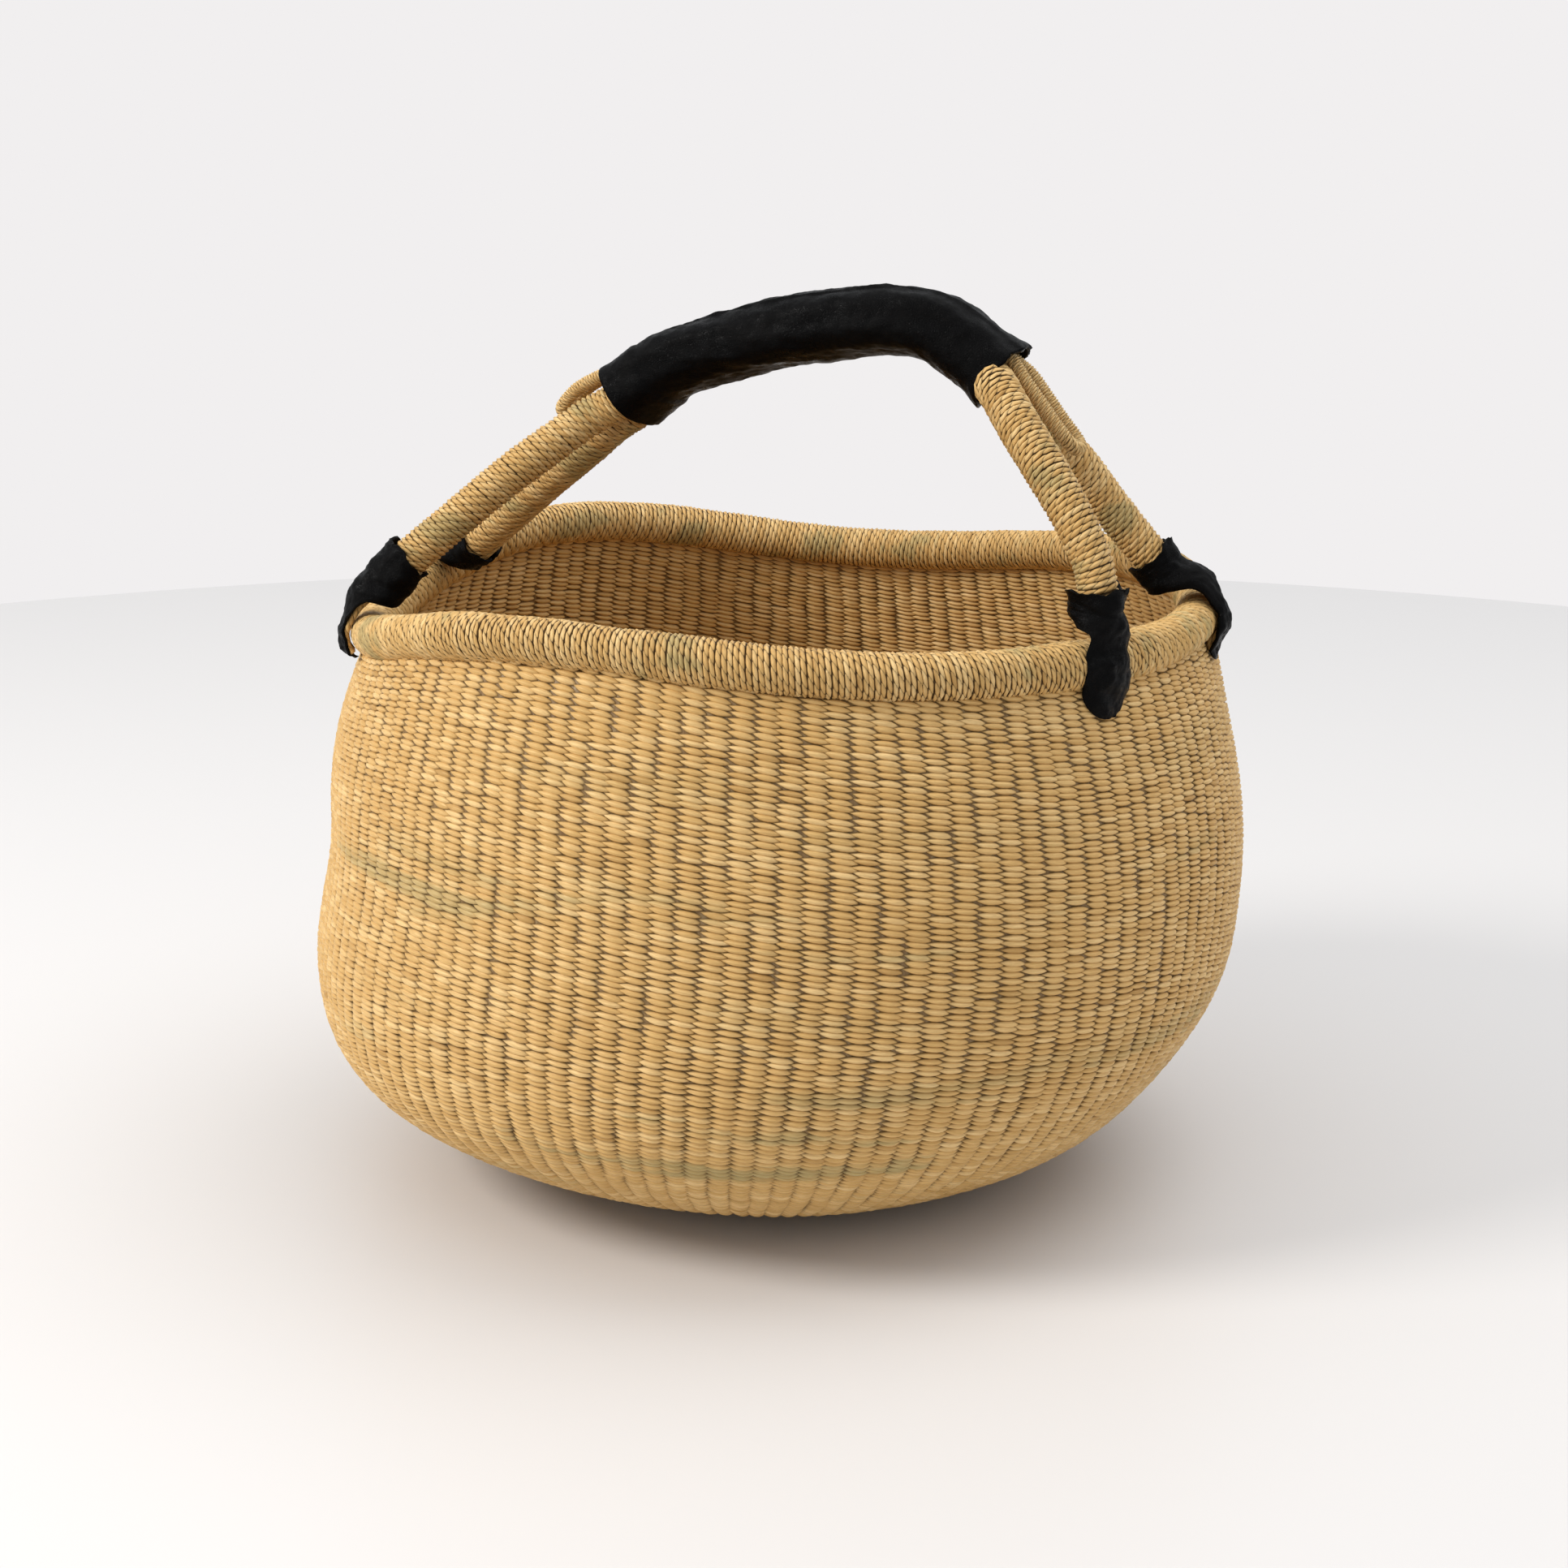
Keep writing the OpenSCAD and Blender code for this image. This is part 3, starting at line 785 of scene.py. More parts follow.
@once
def bare_straw():
    """Stems seen only through gaps, held dark with painted shade: grain runs up the wall and along the
    bundles.
    """
    material, w, shader = new_material("bare_straw")
    place = object_place(w)
    stems = w.noise(w.vmath("MULTIPLY", place, (1.0, 1.0, 0.12)), 700.0)
    grain = w.scale(place, 900.0)
    # The fixed low Depth paints these stems dark as shade.
    inputs = {"Tone": w.span(stems, 0.3, 0.7), "Depth": 0.2, "Grain": grain, "Place": place, "Green": 0.3}
    surface(w, shader, straw_group(), inputs)
    set_bump(w, shader, stems, 0.5, 0.0004)
    return material


def leather_material(name, wear, strength, shine):
    material, w, shader = new_material(name)
    height = surface(w, shader, leather_group(), {"Place": object_place(w), "Wear": wear})
    shader.inputs["Specular IOR Level"].default_value = shine
    set_bump(w, shader, height, strength, 0.0006)
    return material


@once
def grip_leather():
    return leather_material("grip_leather", 0.35, 0.5, 0.045)


@once
def foot_leather():
    return leather_material("foot_leather", 0.5, 0.5, 0.05)


# ---------------------------------------------------------------- woven body
def form_object(name, position, outward):
    """Carrier for a twining tree: a grid of points (v, u, 3) with its outward directions."""
    rows, columns = position.shape[:2]
    mesh = mesh_of(name, position, grid_faces(rows, columns))
    uv = mesh.uv_layers.new(name="form")
    corner = np.empty(len(mesh.loops), np.int32)
    mesh.loops.foreach_get("vertex_index", corner)
    uvs = np.stack([(corner % columns) / (columns - 1), (corner // columns) / (rows - 1)], 1)
    uv.data.foreach_set("uv", uvs.astype(np.float32).ravel())
    store(mesh, "out", outward, "FLOAT_VECTOR")
    return link(name, mesh)


def wall_form(name, body, low, high, inside):
    rows, columns = 121, 289
    a = np.linspace(0, 2 * math.pi, columns)[None, :] * (-1 if inside else 1)
    s = np.linspace(low, high, rows)[:, None]
    a, s = np.broadcast_arrays(a, s)
    depth = -body.s.wall_thick if inside else 0.0
    here = body.at(a, s, depth)
    step = -MM if inside else MM
    return form_object(name, here, unit(body.at(a, s, depth + step) - here))


def base_form(name, body, low, high, inside):
    rows, columns = 41, 145
    a = np.linspace(0, 2 * math.pi, columns)[None, :] * (-1 if inside else 1)
    r = np.linspace(low, high, rows)[:, None]
    a, r = np.broadcast_arrays(a, r)
    z = np.full_like(r, body.s.wall_thick if inside else 0.0)
    here = np.stack([r * np.cos(a), r * np.sin(a), z], -1)
    outward = np.zeros_like(here)
    outward[..., 2] = 1 if inside else -1
    return form_object(name, here, outward)


def twine(form, stakes, first, rows, all_rows, facets, lift=1.0, seed=0, slant=1.0):
    weave = settings().weave
    values = {
        "Stakes": stakes,
        "First Row": first,
        "Rows": rows,
        "All Rows": all_rows,
        "Slant": weave.slant * slant,
        "Lift": weave.lift * lift,
        "Sink": weave.sink,
        "Jitter": weave.jitter,
        "Seed": weave.seed + seed,
        "Facets": facets,
        "Material": twined_straw(),
    }
    return grow(form, twining_tree(), values)


def lay_map(mesh):
    """Maps a cord by distance along it and way round it, with no jump at the seams."""
    vertex = np.empty(len(mesh.loops), np.int32)
    mesh.loops.foreach_get("vertex_index", vertex)
    start = np.empty(len(mesh.polygons), np.int32)
    mesh.polygons.foreach_get("loop_start", start)
    face = np.repeat(np.arange(len(start)), np.diff(np.append(start, len(vertex))))
    uv = np.empty((len(vertex), 2), np.float32)
    for k, name in enumerate(("around", "cross")):
        values = np.empty(len(mesh.vertices), np.float32)
        mesh.attributes[name].data.foreach_get("value", values)
        here = values[vertex]
        highest = np.maximum.reduceat(here, start)[face]
        uv[:, k] = np.where(highest - here > 0.5, here + 1, here)
    mesh.uv_layers.new(name="wrap").data.foreach_set("uv", uv.ravel())


def discard(*objects):
    for o in objects:
        mesh = o.data
        bpy.data.objects.remove(o)
        bpy.data.meshes.remove(mesh)


def join_meshes(name, meshes):
    bm = bmesh.new()
    for m in meshes:
        bm.from_mesh(m)
    joined = bpy.data.meshes.new(name)
    bm.to_mesh(joined)
    bm.free()
    for m in meshes:
        bpy.data.meshes.remove(m)
    return joined


WALL_TOP = 0.99  # the twining ends under the rim, as a share of the profile
SPLIT_RADIUS = 0.118  # stakes double outside this radius
# Each band's facets along a stitch, lift, seed and slant, and the solid that it stands for
OUTER_FOOT = (6, 1.4, 1, 0.4, "wall_foot")
OUTER_BANDS = (
    (7, 1.35, 10, 0.7, "wall_lower"),
    (7, 1.15, 11, 0.85, None),
    (7, 1.0, 12, 1.0, "wall_belly"),
    (7, 0.9, 13, 1.0, "wall_upper"),
)
INNER_FOOT = (5, 1.0, 41, 1.0, None)
INNER_BANDS = tuple((5, 1.0, 50 + k, 1.0, None) for k in range(3))


def twine_wall(prefix, inside, foot_look, looks):
    """Twines one side of the wall: a foot with half the stakes, then bands up to the rim."""
    body, weave = Body(), settings().weave
    split = body.distance_to(SPLIT_RADIUS)
    top = body.along[-1] * WALL_TOP

    def band(name, form, stakes, first, count, rows, look):
        facets, lift, seed, slant, solid = look
        mesh = twine(form, stakes, first, count, rows, facets, lift, seed, slant)
        finish_piece(f"{prefix}_twining_{name}", mesh, (solid,) if solid else ())

    foot = wall_form("foot_form", body, 0.0, split, inside)
    rows = int(split / weave.row_pitch)
    band("foot", foot, weave.stakes // 2, 0, rows - 1, rows, foot_look)
    wall = wall_form("wall_form", body, split, top, inside)
    rows = int((top - split) / weave.row_pitch)
    marks = [round((rows - 1) * k / len(looks)) for k in range(len(looks) + 1)]
    for k, look in enumerate(looks):
        band(k + 1, wall, weave.stakes, marks[k], marks[k + 1] - marks[k], rows, look)
    discard(foot, wall)


class BASKET_OT_wall_outside(bpy.types.Operator):
    """Twines the outside of the wall, band by band"""

    bl_idname = "basket.wall_outside"
    bl_label = "Wall outside"

    def execute(self, context):
        twine_wall("wall", False, OUTER_FOOT, OUTER_BANDS)
        return {"FINISHED"}


class BASKET_OT_wall_inside(bpy.types.Operator):
    """Twines the inside of the wall"""

    bl_idname = "basket.wall_inside"
    bl_label = "Wall inside"

    def execute(self, context):
        twine_wall("lining", True, INNER_FOOT, INNER_BANDS)
        return {"FINISHED"}


HUB_RADIUS = 0.004  # the rows and the stakes end here, short of the centre

# Each ring's stakes, inner radius and outer radius; the last one ends at the edge of the base
BASE_RINGS = ((8, HUB_RADIUS, 0.014), (16, 0.014, 0.028), (33, 0.028, 0.052), (67, 0.052, 1.0))


class BASKET_OT_base(bpy.types.Operator):
    """Twines the base, with fewer stakes towards its centre"""

    bl_idname = "basket.base"
    bl_label = "Base"

    def execute(self, context):
        body, weave = Body(), settings().weave
        for side, inside in (("under", False), ("inside", True)):
            meshes = []
            for k, (stakes, low, high) in enumerate(BASE_RINGS):
                high = min(high, body.s.base_radius)
                form = base_form("base_form", body, low, high, inside)
                rows = int((high - low) / weave.row_pitch)
                lift = 1.0 if inside else 0.0
                meshes.append(twine(form, stakes, 0, rows, rows, 6, lift, 80 + k + 10 * inside))
                discard(form)
            replaces = () if inside else ("base_weave",)
            mesh = join_meshes("base", meshes)
            finish_piece(f"base_twining_{side}", mesh, replaces, twined_straw())
        return {"FINISHED"}


HUB_DEPTH = 1.2 * MM
STAKE_DEPTH = 1.25 * MM  # the sheet of stakes lies this far inside both faces of the wall
STAKE_RIB = 0.35 * MM
STAKE_TOP = 0.975  # its top, as a share of the profile


class BASKET_OT_stakes(bpy.types.Operator):
    """Makes the stakes that the rows are twined on, as one closed ribbed sheet"""

    bl_idname = "basket.stakes"
    bl_label = "Stakes"

    def execute(self, context):
        body, weave = Body(), settings().weave
        columns, rows = weave.stakes * 2, 46
        a = np.arange(columns) * 2 * math.pi / columns
        a, s = np.meshgrid(a, np.linspace(0, body.along[-1] * STAKE_TOP, rows))
        rib = STAKE_RIB * np.cos(a * weave.stakes)
        outer = body.at(a, s, -STAKE_DEPTH + rib)
        inner = body.at(a, s, -body.s.wall_thick + STAKE_DEPTH - rib)
        x, y = HUB_RADIUS * np.cos(a[0]), HUB_RADIUS * np.sin(a[0])
        hub_out = np.stack([x, y, np.full(columns, HUB_DEPTH)], -1)
        hub_in = hub_out + (0, 0, body.s.wall_thick - 2 * HUB_DEPTH)
        loop = np.concatenate([hub_out[None], outer, inner[::-1], hub_in[None]])
        mesh = mesh_of("stakes", loop, grid_faces(len(loop), columns, True, True))
        face_outwards(mesh)
        # The stakes take the bare straw, which is painted dark as shade behind the stitches.
        finish_piece("stakes", mesh, (), bare_straw())
        return {"FINISHED"}


# ---------------------------------------------------------------- paths of the handle, in mm
GRIP_Y = -27.5
GRIP_ROLL = math.radians(12)
GRIP_POINTS = (
    (-45, 337.5), (-30, 347.8), (-14, 355), (4, 360.5), (22, 365.3), (40, 368.7), (58, 371.5),
    (72, 372.8), (84, 372.2), (94, 369.2), (103, 364.2), (111, 358.6), (118, 352.3),
)
FRONT_LEFT_LEG = (
    (-134, -88, 260), (-124, -84, 271), (-107, -74, 287), (-89, -62, 304), (-72, -50, 318.5),
    (-58, -41, 329.5),
)
FRONT_RIGHT_LEG = (
    (124, -48, 349.5), (137, -60.5, 336.5), (151, -70, 321.5), (164, -75, 304), (172, -76.5, 289),
    (174.5, -76.5, 278), (174.5, -76, 269),
)
REAR_LEFT_LEG = (
    (-147.5, 10, 257), (-136, 7, 265), (-124, 3, 274), (-106, -3, 288), (-89.5, -9, 300), (-71, -15.5, 313),
    (-56, -19.5, 324.5),
)
REAR_RIGHT_LEG = (
    (125, -11.5, 338.5), (134, -3.5, 326), (145, 4.5, 312), (156, 12, 295), (168, 17.5, 279),
    (178, 20.5, 267),
)
LINK_LEFT = ((-73, 334.5), (-68, 339.5), (-61, 343.5), (-53, 347))
LINK_RIGHT = ((130, 352.5), (137, 343.5), (143, 335.5), (148, 329.5))
BUNDLE_SIDE, BUNDLE_LOW = 9.3, -3.1
BUNDLE_STEPS = 6
LINK_HALF, LINK_HIGH = 6.2, 8.5
ACROSS = np.array([0.0, 1.0, 0.0])

# Each bundle's legs, its place beside the middle of the grip, and the seed of its wrapping
BUNDLES = {
    "front": (FRONT_LEFT_LEG, FRONT_RIGHT_LEG, -BUNDLE_SIDE, 21),
    "rear": (REAR_LEFT_LEG, REAR_RIGHT_LEG, BUNDLE_SIDE, 22),
}


def grip_frames(points):
    """Tangent, sideways and upward directions along the rolled grip."""
    t = tangents(points)
    x = unit(without(np.broadcast_to(ACROSS, t.shape), t))
    n = np.cross(t, x)
    side = math.cos(GRIP_ROLL) * x - math.sin(GRIP_ROLL) * n
    return t, side, np.cross(t, side)


def grip_line(steps):
    return smooth_line([(x, GRIP_Y, z) for x, z in GRIP_POINTS], steps) * MM


def beside_grip(side, high):
    line = grip_line(1)
    _, x, n = grip_frames(line)
    return (line + side * MM * x + high * MM * n).tolist()


def bundle_line(name):
    left, right, side, _ = BUNDLES[name]
    left, right = ([tuple(c * MM for c in p) for p in leg] for leg in (left, right))
    return smooth_line(left + beside_grip(side, BUNDLE_LOW) + right, BUNDLE_STEPS)


def link_loop():
    """The link's closed middle line: two strands on the grip and a turn at each end."""

    def strand(y):
        ends = [[(x * MM, (GRIP_Y + y) * MM, z * MM) for x, z in part] for part in (LINK_LEFT, LINK_RIGHT)]
        return ends[0] + beside_grip(y, LINK_HIGH) + ends[1]

    def turn(c, d, way):
        d = np.array([d[0], 0, d[1]]) / math.hypot(*d)
        angles = np.radians(-90 + 30 * np.arange(1, 6))
        middle = np.array([c[0], GRIP_Y, c[1]])
        return [(middle + LINK_HALF * (math.cos(k) * d + way * math.sin(k) * ACROSS)) * MM for k in angles]

    right_turn = turn(LINK_RIGHT[-1], (5, -6.3), 1)
    left_turn = turn(LINK_LEFT[0], (-4, -5), -1)
    points = np.array([*strand(-LINK_HALF), *right_turn, *strand(LINK_HALF)[::-1], *left_turn])
    steps = 4
    ring = smooth_line(np.vstack([points[-2:], points, points[:2]]), steps)
    return ring[2 * steps : (2 + len(points)) * steps]


def path_object(name, points, closed=False, girth=None):
    n = len(points)
    edges = [(i, i + 1) for i in range(n - 1)] + ([(n - 1, 0)] if closed else [])
    mesh = mesh_of(name, points, (), edges)
    store(mesh, "girth", np.ones(n) if girth is None else girth)
    return link(name, mesh)


def soft_girth(points, swell, pitch, seed):
    """Slow swelling and thinning of a hand-wrapped roll."""
    return np.array([1 + swell * noise.noise(Vector(p) / pitch + Vector((seed, 0, 0))) for p in points])


RING_SHIFT = 4.43  # plies from the start of one ring to the start of the next
PATH_STEP = 0.003
SWELL_PITCH = 0.03


def wrap(name, points, radius, cord, pitch, replaces, material, plies, seed, closed=False, **look):
    """Winds a roll with rings of cord; each ring's plies lie about half a ply from its neighbours'."""
    look = {"steps": 14, "sides": 5, "jitter": 0.05, "swell": 0.05, **look}
    line = even_line(np.vstack([points, points[:1]]) if closed else points, PATH_STEP)
    if closed:
        line = line[:-1]
    path = path_object("path", line, closed, soft_girth(line, look["swell"], SWELL_PITCH, seed))
    values = {
        "Count": int(line_length(line) / pitch),
        "Roll Radius": radius - cord,
        "Cord Radius": cord,
        "Lean": settings().wraps.lean,
        "Jitter": look["jitter"],
        "Spin": 2 * math.pi * RING_SHIFT / plies,
        "Seed": seed,
        "Steps": look["steps"],
        "Sides": look["sides"],
        "Material": material,
    }
    mesh = grow(path, wrap_tree(), values)
    discard(path)
    face_outwards(mesh)
    lay_map(mesh)
    return finish_piece(name, mesh, replaces)


class BASKET_OT_rim(bpy.types.Operator):
    """Wraps the rim roll with grass cord"""

    bl_idname = "basket.rim"
    bl_label = "Rim"

    def execute(self, context):
        wraps = settings().wraps
        points = Body().rim(np.linspace(0, 2 * math.pi, 721)[:-1])
        cord = (wraps.rim_radius, wraps.cord_radius, wraps.cord_pitch)
        look = {"jitter": 0.04, "swell": 0.08}
        wrap("rim_wraps", points, *cord, ("rim_binding",), rim_cord(), RIM_PLIES, 5, True, **look)
        return {"FINISHED"}


class BASKET_OT_handle(bpy.types.Operator):
    """Wraps the two handle bundles with grass cord"""

    bl_idname = "basket.handle"
    bl_label = "Handle bundles"

    def execute(self, context):
        wraps = settings().wraps
        cord = (wraps.bundle_radius, wraps.cord_radius, wraps.cord_pitch)
        for bundle, (left, right, _, seed) in BUNDLES.items():
            line = bundle_line(bundle)
            first = BUNDLE_STEPS * (len(left) + 1)
            last = len(line) - BUNDLE_STEPS * (len(right) + 1)
            legs = (("left", line[:first], (f"handle_{bundle}_binding",)), ("right", line[last:], ()))
            for k, (side, part, replaces) in enumerate(legs):
                name = f"handle_{bundle}_wraps_{side}"
                wrap(name, part, *cord, replaces, handle_cord(), HANDLE_PLIES, seed + 5 * k)
        return {"FINISHED"}


class BASKET_OT_link(bpy.types.Operator):
    """Wraps the thin link cord that lies on the grip"""

    bl_idname = "basket.link"
    bl_label = "Link cord"

    def execute(self, context):
        wraps = settings().wraps
        thin = wraps.cord_radius * 0.6
        cord = (wraps.link_radius, thin, thin * 1.75)
        look = {"steps": 12, "sides": 4, "swell": 0.03}
        replaces = ("grip_link_binding",)
        wrap("grip_link_wraps", link_loop(), *cord, replaces, link_cord(), LINK_PLIES, 31, True, **look)
        return {"FINISHED"}


# ---------------------------------------------------------------- leather
GRIP_HALF_WIDE, GRIP_HALF_TALL, GRIP_LEATHER = 19.6 * MM, 12.4 * MM, 1.2 * MM
GRIP_SQUARENESS = 3.0


def oval(angle):
    """The grip's section inside its leather: sideways and upward distances."""
    p = 2 / GRIP_SQUARENESS
    c, s = np.cos(angle), np.sin(angle)
    return GRIP_HALF_WIDE * np.sign(c) * np.abs(c) ** p, GRIP_HALF_TALL * np.sign(s) * np.abs(s) ** p


def wrinkle(points, scale, seed):
    shift = Vector((seed, 2.3, 0.7))
    flat = [noise.fractal(Vector(p) * scale + shift, 0.8, 2.0, 3) for p in points.reshape(-1, 3)]
    return np.array(flat).reshape(points.shape[:-1])


def facing(angle, degrees):
    """1 where a section faces one way, falling to 0 a quarter turn from it."""
    return np.clip(np.cos(angle - math.radians(degrees)), 0, 1)


class BASKET_OT_grip(bpy.types.Operator):
    """Makes the leather sleeve of the grip, with its turned hems and its lap"""

    bl_idname = "basket.grip"
    bl_label = "Leather grip"

    def execute(self, context):
        line = even_line(grip_line(8), 0.0011)
        t, side, up = grip_frames(line)
        rings, around = len(line), 84
        angle = np.linspace(0, 2 * math.pi, around, endpoint=False)
        far = np.linspace(0, line_length(line), rings)
        share = far / far[-1]
        end = np.minimum(far, far[-1] - far)

        def skin(grow_by):
            x, y = oval(angle)
            k = 1 + grow_by / np.hypot(x, y)[None, :]
            return line[:, None] + (x * k)[..., None] * side[:, None] + (y * k)[..., None] * up[:, None]

        smooth = skin(np.full((rings, around), GRIP_LEATHER))
        stretched = smooth.copy()
        stretched[..., 0] *= 0.45
        folds = wrinkle(stretched, 60, 1.0) * 1.5 * MM * (0.3 + 0.7 * ease(end / 0.03))[:, None]
        small = wrinkle(smooth, 170, 5.0) * 0.42 * MM
        slack = (-0.7 * MM, -1.0 * MM, -0.2 * MM, 0.3 * MM)
        slack = np.interp(share, (0, 0.35, 0.75, 1), slack)[:, None]
        hem = GRIP_LEATHER * 0.8 * (1 - ease((far - 0.016) / 0.0012))[:, None]
        lap_at = math.radians(118)
        turned = (angle - lap_at + 0.12 * np.sin(share * 9)[:, None]) % (2 * math.pi)
        before = 2 * math.pi - turned
        lap = 0.9 * MM * ease(before / 0.06) * (1 - ease(before / 1.2)) * ease((share - 0.12) / 0.1)[:, None]
        flare = 0.8 * MM * (1 - ease(end / 0.006))[:, None]
        mouth = ease((far - far[-1] + 0.012) / 0.012)[:, None]
        flap = 2.4 * MM * mouth * facing(angle, 75)[None, :] ** 2
        lining = np.full((rings, around), 0.15 * MM) + 0.6 * flare + flap
        outer = skin(GRIP_LEATHER + folds + small + slack + hem + lap + flare + flap)
        inner = skin(lining + np.minimum(slack, 0) + np.minimum(folds, 0))
        torn = wrinkle(outer[-1:], 150, 9.0)[0] * 2.0 + 3.0 * facing(angle, -105) ** 4
        pull = (mouth**3) * torn[None, :] * MM
        outer = outer + pull[..., None] * t[:, None]
        inner = inner + pull[..., None] * t[:, None]
        shell = np.concatenate([outer, inner[::-1]])
        mesh = mesh_of("sleeve", shell, grid_faces(len(shell), around, True, True))
        face_outwards(mesh)
        replaces = ("grip_sleeve", "grip_cuff_left", "grip_cuff_right", "grip_seam")
        finish_piece("grip_sleeve_leather", mesh, replaces, grip_leather())
        return {"FINISHED"}


# Each foot's name, angle round the rim, bundle, whether it is at the left end of the bundle, drop below
# the middle of the rim in mm, collar length in steps of the bundle, half width at the rim in mm and seed
FEET = (
    ("front_left", -148.5, "front", True, 10.0, 6, 5.2, 3),
    ("front_right", -26.5, "front", False, 20.5, 5, 13.0, 8),
    ("rear_left", 176.0, "rear", True, 17.0, 5, 8.0, 14),
    ("rear_right", 6.5, "rear", False, 16.5, 4, 8.6, 21),
)
CORD_THICK, LEATHER_THICK = 2.2, 1.3  # in mm
CORD_RADIUS, CORD_SPACING = 1.35 * MM, 3.2 * MM


class Foot:
    """Directions and places round one foot of the handle."""

    def __init__(self, angle, bundle, at_start):
        self.a = math.radians(angle)
        self.body = Body()
        self.c = self.body.rim(np.array([self.a]))[0]
        self.radial = np.array([math.cos(self.a), math.sin(self.a), 0])
        self.side = np.array([-math.sin(self.a), math.cos(self.a), 0])
        line = bundle_line(bundle)
        self.line = line if at_start else line[::-1]
        self.t = tangents(self.line)

    def lift(self, degrees):
        b = math.radians(degrees)
        return math.cos(b) * self.radial + np.array([0, 0, math.sin(b)])

    def polar(self, r, degrees):
        """A place round the rim roll, r from its middle; degrees turn from outwards to upwards."""
        return self.c + r * MM * self.lift(degrees)

    def below(self, z, d, roll):
        """A place on the outside, z below the rim's middle: on the rim roll, then d out from the wall."""
        s = self.body.s
        out = float(self.body.wall_radius(s.mouth_height - z * MM)) - s.mouth_radius + d * MM
        out = max(out, math.sqrt(max(roll**2 - z**2, 0.0)) * MM)
        return self.c + out * self.radial - np.array([0, 0, z * MM])


class BASKET_OT_foot_cords(bpy.types.Operator):
    """Lays three grass cords from each bundle's end round the rim"""

    bl_idname = "basket.foot_cords"
    bl_label = "Foot cords"

    def execute(self, context):
        mid = settings().wraps.rim_radius / MM + 0.4 + CORD_THICK / 2
        values = {"Cord Radius": CORD_RADIUS, "Sides": 8, "Material": foot_cord()}
        for name, angle, bundle, at_start, drop, *_ in FEET:
            foot = Foot(angle, bundle, at_start)
            over = [foot.polar(mid + out, turn) for out, turn in ((2.5, 72), (0, 40), (0, 10), (0, -18))]
            hang = [foot.below(0.55 * drop, 2.2, mid), foot.below(0.72 * drop, 2, mid)]
            spine = smooth_line([foot.line[0] - 0.0012 * foot.t[0], *over, *hang], 8)
            t = tangents(spine)
            x = unit(without(np.broadcast_to(foot.side, t.shape), t))
            meshes = []
            for k in (-1, 0, 1):
                along = range(len(spine))
                wobble = np.array([noise.noise(Vector((i * 0.11, k * 7.1, angle))) for i in along])[:, None]
                path = path_object("path", spine + x * (CORD_SPACING * k + 0.5 * MM * wobble))
                meshes.append(grow(path, cord_tree(), values))
                discard(path)
            mesh = join_meshes("cords", meshes)
            face_outwards(mesh)
            lay_map(mesh)
            finish_piece(f"foot_{name}_cords", mesh, (f"foot_cord_{name}",), foot_cord())
        return {"FINISHED"}


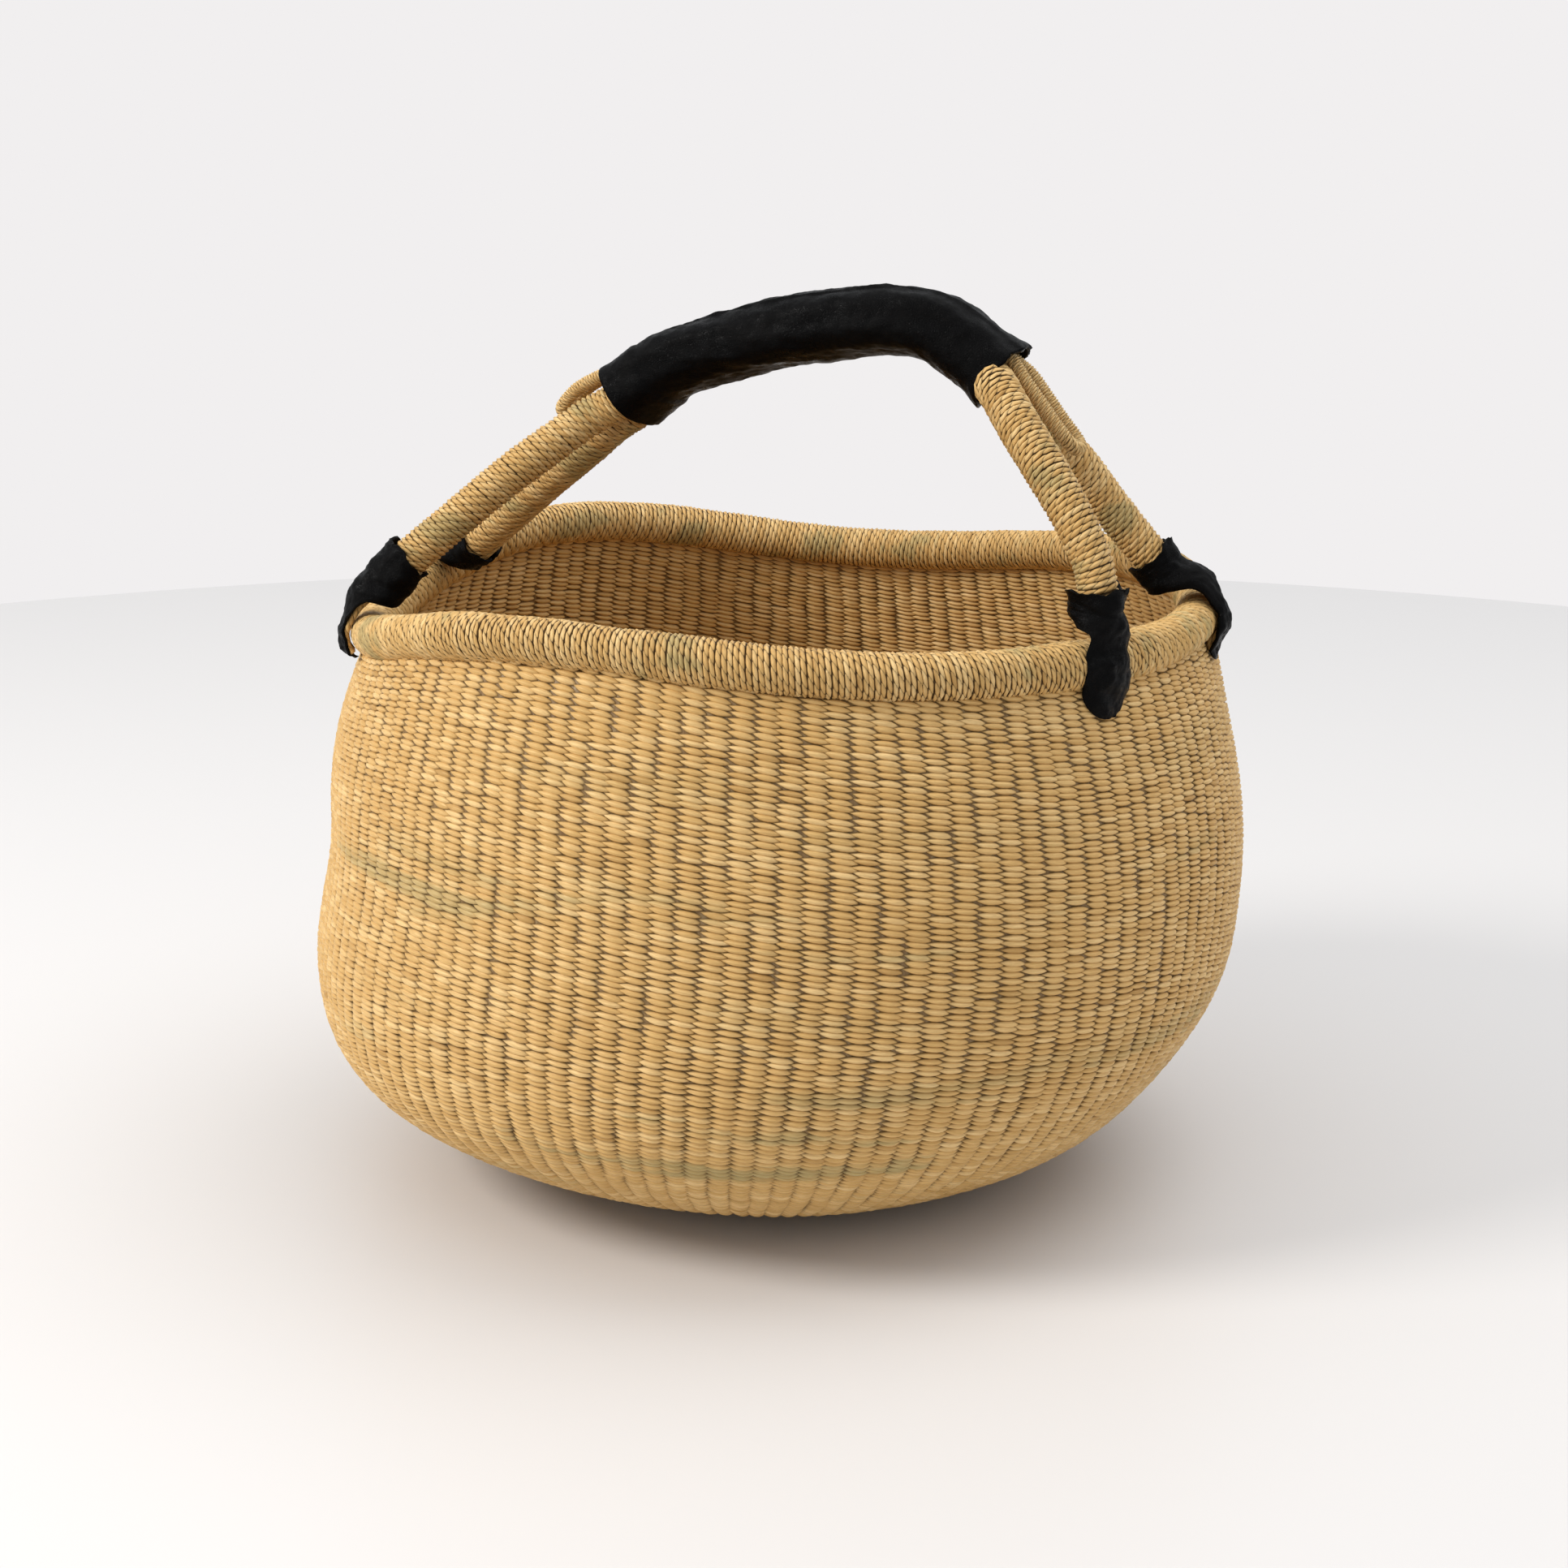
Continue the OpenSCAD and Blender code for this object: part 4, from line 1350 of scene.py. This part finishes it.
class BASKET_OT_foot_leathers(bpy.types.Operator):
    """Makes the crumpled leather that holds each foot of the handle to the rim"""

    bl_idname = "basket.foot_leathers"
    bl_label = "Foot leathers"

    def stations(self, foot, drop, collar, half_wide):
        """Rows of apex point, outward direction, sideways direction, bend radius and half angle."""
        r = settings().wraps.bundle_radius + (0.3 + LEATHER_THICK / 2) * MM
        strap = settings().wraps.rim_radius / MM + CORD_THICK + 0.5 + LEATHER_THICK / 2
        rows = []
        for i, half in ((collar, 168), (collar - 1, 170), (collar // 2, 166), (0, 150)):
            t = foot.t[i]
            n = unit(without(foot.radial, t))
            rows.append((foot.line[i] + r * n, n, np.cross(t, n), r / MM, half))
        n0 = rows[-1][1]
        n1 = unit(n0 + foot.lift(50))
        over = 0.5 * (foot.line[0] + r * n0 + foot.polar(strap + 1, 45)) + 3.0 * MM * n1
        rows.append((over, n1, unit(without(foot.side, n1)), 12, 62))

        def wide(bend, share=1.0):
            return math.degrees(half_wide * share / bend)

        for place, turn, bend, half in (
            (foot.polar(strap + 0.6, 34), 34, 18, wide(18)),
            (foot.polar(strap + 0.2, 8), 8, 20, wide(20, 1.03)),
            (foot.polar(strap, -18), -14, 22, wide(22, 1.05)),
            (foot.below(0.62 * drop, 4.6, strap), -16, 18, wide(18)),
            (foot.below(drop, 1.6, strap - 0.6), -24, 14, wide(14, 0.85)),
        ):
            rows.append((place, foot.lift(turn), foot.side, bend, half))
        ends = ([bend * MM, math.radians(half)] for *_, bend, half in rows)
        return np.array([np.concatenate([*row[:3], end]) for row, end in zip(rows, ends)])

    def execute(self, context):
        for name, angle, bundle, at_start, drop, collar, half_wide, seed in FEET:
            foot = Foot(angle, bundle, at_start)
            rows = smooth_line(self.stations(foot, drop, collar, half_wide), 8)
            apex, n, s, bend, half = rows[:, 0:3], unit(rows[:, 3:6]), rows[:, 6:9], rows[:, 9], rows[:, 10]
            s = unit(without(s, n))
            across = np.linspace(-1, 1, 45)
            share = np.linspace(0, 1, len(rows))
            tip = np.sqrt(np.clip(1 - ((share - 0.86) / 0.145).clip(0) ** 2, 0.03, 1))
            b = (half * tip)[:, None] * across[None, :]
            middle = apex - bend[:, None] * n
            spin = np.cos(b)[..., None] * n[:, None] + np.sin(b)[..., None] * s[:, None]
            flat = middle[:, None] + bend[:, None, None] * spin
            fold = (wrinkle(flat, 85, seed) * 1.5 + wrinkle(flat, 260, seed + 0.5) * 0.45 + 0.35) * MM
            edge = np.abs(across)[None, :] ** 5 * (wrinkle(flat, 80, seed + 1.7) * 1.6 - 0.3) * MM
            along = unit(np.gradient(flat, axis=0))
            top = np.maximum(1 - share / 0.12, 0)[:, None]
            points = np.abs(np.sin(1.5 * math.pi * across + seed)) ** 6
            ragged = -top * (2.2 * points[None, :] + wrinkle(flat, 150, seed + 4.1) * 2.0) * MM
            flat = flat + along * ragged[..., None]
            lift = fold + edge + 0.9 * MM * top**2
            outer = flat + spin * (LEATHER_THICK / 2 * MM + lift)[..., None]
            inner = flat + spin * (-LEATHER_THICK / 2 * MM + lift)[..., None]
            shell = np.concatenate([outer, inner[:, ::-1]], 1)
            rings, wide = shell.shape[:2]
            faces = grid_faces(rings, wide, False, True).tolist()
            for ring, flip in ((0, False), (rings - 1, True)):
                start = ring * wide
                for k in range(wide // 2 - 1):
                    quad = [start + k, start + k + 1, start + wide - 2 - k, start + wide - 1 - k]
                    faces.append(quad[::-1] if flip else quad)
            mesh = mesh_of("strap", shell, faces)
            face_outwards(mesh)
            replaces = (f"foot_leather_{name}",)
            finish_piece(f"foot_{name}_leather", mesh, replaces, foot_leather())
        return {"FINISHED"}


class BASKET_OT_cores(bpy.types.Operator):
    """Gives the grass cores inside the rolls the bare straw, which is painted dark as shade"""

    bl_idname = "basket.cores"
    bl_label = "Cores"

    def execute(self, context):
        for name in ("rim_core", "handle_front_core", "handle_rear_core", "grip_link_core"):
            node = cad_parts[name]
            node.data.materials.clear()
            node.data.materials.append(bare_straw())
        return {"FINISHED"}


# ---------------------------------------------------------------- stage
def plain_material(name, rgb, roughness):
    material, w, shader = new_material(name)
    shader.inputs["Base Color"].default_value = (*rgb, 1.0)
    shader.inputs["Roughness"].default_value = roughness
    return material


def area_light(name, place, target, size, power, tint):
    data = bpy.data.lights.new(name, "AREA")
    data.shape = "DISK"
    data.size, data.energy, data.color = size, power, tint
    lamp = link(name, data)
    lamp.location = place
    lamp.rotation_euler = (Vector(target) - Vector(place)).to_track_quat("-Z", "Y").to_euler()


STRAIGHT_UP = 90
FLOOR_Z = -0.6 * MM


class BASKET_OT_stage(bpy.types.Operator):
    """Sets the pale floor, the soft light and the camera"""

    bl_idname = "basket.stage"
    bl_label = "Stage"

    def execute(self, context):
        stage, scene = settings().stage, context.scene
        bm = bmesh.new()
        bmesh.ops.create_circle(bm, cap_ends=True, radius=stage.floor_radius, segments=128)
        mesh = bpy.data.meshes.new("floor")
        bm.to_mesh(mesh)
        bm.free()
        mesh.materials.append(plain_material("pale_floor", (0.72, 0.70, 0.685), 0.45))
        floor = link("floor", mesh)
        floor.location.z = FLOOR_Z

        turn = math.radians(stage.camera_turn)
        right = Vector((math.cos(turn), math.sin(turn), 0))
        ahead = Vector((-math.sin(turn), math.cos(turn), 0))

        def seen(x, y, z):
            return right * x + ahead * y + Vector((0, 0, z))

        world = bpy.data.worlds.new("studio")
        scene.world = world
        world.use_nodes = True
        w = Wiring(world.node_tree)
        world.node_tree.nodes.clear()
        _, _, high = w.split(w.add("ShaderNodeTexCoord").outputs["Generated"])
        inputs = {"Color": (0.95, 0.97, 1.0, 1.0), "Strength": w.span(high, -0.4, 0.9, 0.34, 0.98)}
        fill = w.out("ShaderNodeBackground", None, inputs)
        inputs = {"Color": (0.88, 0.862, 0.865, 1.0), "Strength": 1.0}
        plain = w.out("ShaderNodeBackground", None, inputs)
        camera_ray = w.out("ShaderNodeLightPath", name="Is Camera Ray")
        both = w.out("ShaderNodeMixShader", None, {0: camera_ray, 1: fill, 2: plain})
        w.put(w.add("ShaderNodeOutputWorld").inputs["Surface"], both)

        middle = (0, 0, 0.2)
        area_light("key", seen(-1.9, -0.75, 1.6), middle, 0.9, 39, (1.0, 0.97, 0.93))
        area_light("top", seen(0.9, 0.1, 1.9), middle, 1.6, 11, (1.0, 1.0, 1.0))

        data = bpy.data.cameras.new("camera")
        data.lens, data.sensor_width = stage.lens, 36
        camera = link("camera", data)
        camera.location = seen(0.0129, -stage.camera_distance, stage.camera_height)
        camera.rotation_euler = (math.radians(STRAIGHT_UP - stage.camera_pitch), 0, turn)
        scene.camera = camera
        scene.view_settings.view_transform = "Standard"
        return {"FINISHED"}

# ---------------------------------------------------------------- panel and registration
OPERATORS = (
    BASKET_OT_wall_outside,
    BASKET_OT_wall_inside,
    BASKET_OT_base,
    BASKET_OT_stakes,
    BASKET_OT_rim,
    BASKET_OT_handle,
    BASKET_OT_link,
    BASKET_OT_grip,
    BASKET_OT_foot_cords,
    BASKET_OT_foot_leathers,
    BASKET_OT_cores,
    BASKET_OT_stage,
)


class BASKET_PT_panel(bpy.types.Panel):
    """Lists the basket's pieces"""

    bl_idname = "BASKET_PT_panel"
    bl_label = "Twined basket"
    bl_space_type = "VIEW_3D"
    bl_region_type = "UI"
    bl_category = "Basket"

    def draw(self, context):
        for operator in OPERATORS:
            self.layout.operator(operator.bl_idname)
        for group in ("shape", "weave", "wraps", "colours", "stage"):
            box = self.layout.box()
            values = getattr(context.scene.basket, group)
            for key in values.__annotations__:
                box.prop(values, key)


GROUPS = (BasketShape, BasketWeave, BasketWraps, BasketColours, BasketStage, BasketSettings)
CLASSES = (*GROUPS, *OPERATORS, BASKET_PT_panel)


def register():
    for kind in CLASSES:
        bpy.utils.register_class(kind)
    bpy.types.Scene.basket = PointerProperty(type=BasketSettings)


def unregister():
    del bpy.types.Scene.basket
    for kind in reversed(CLASSES):
        bpy.utils.unregister_class(kind)


def main():
    register()
    for operator in OPERATORS:
        group, name = operator.bl_idname.split(".")
        getattr(getattr(bpy.ops, group), name)()


if __name__ == "__main__":
    main()
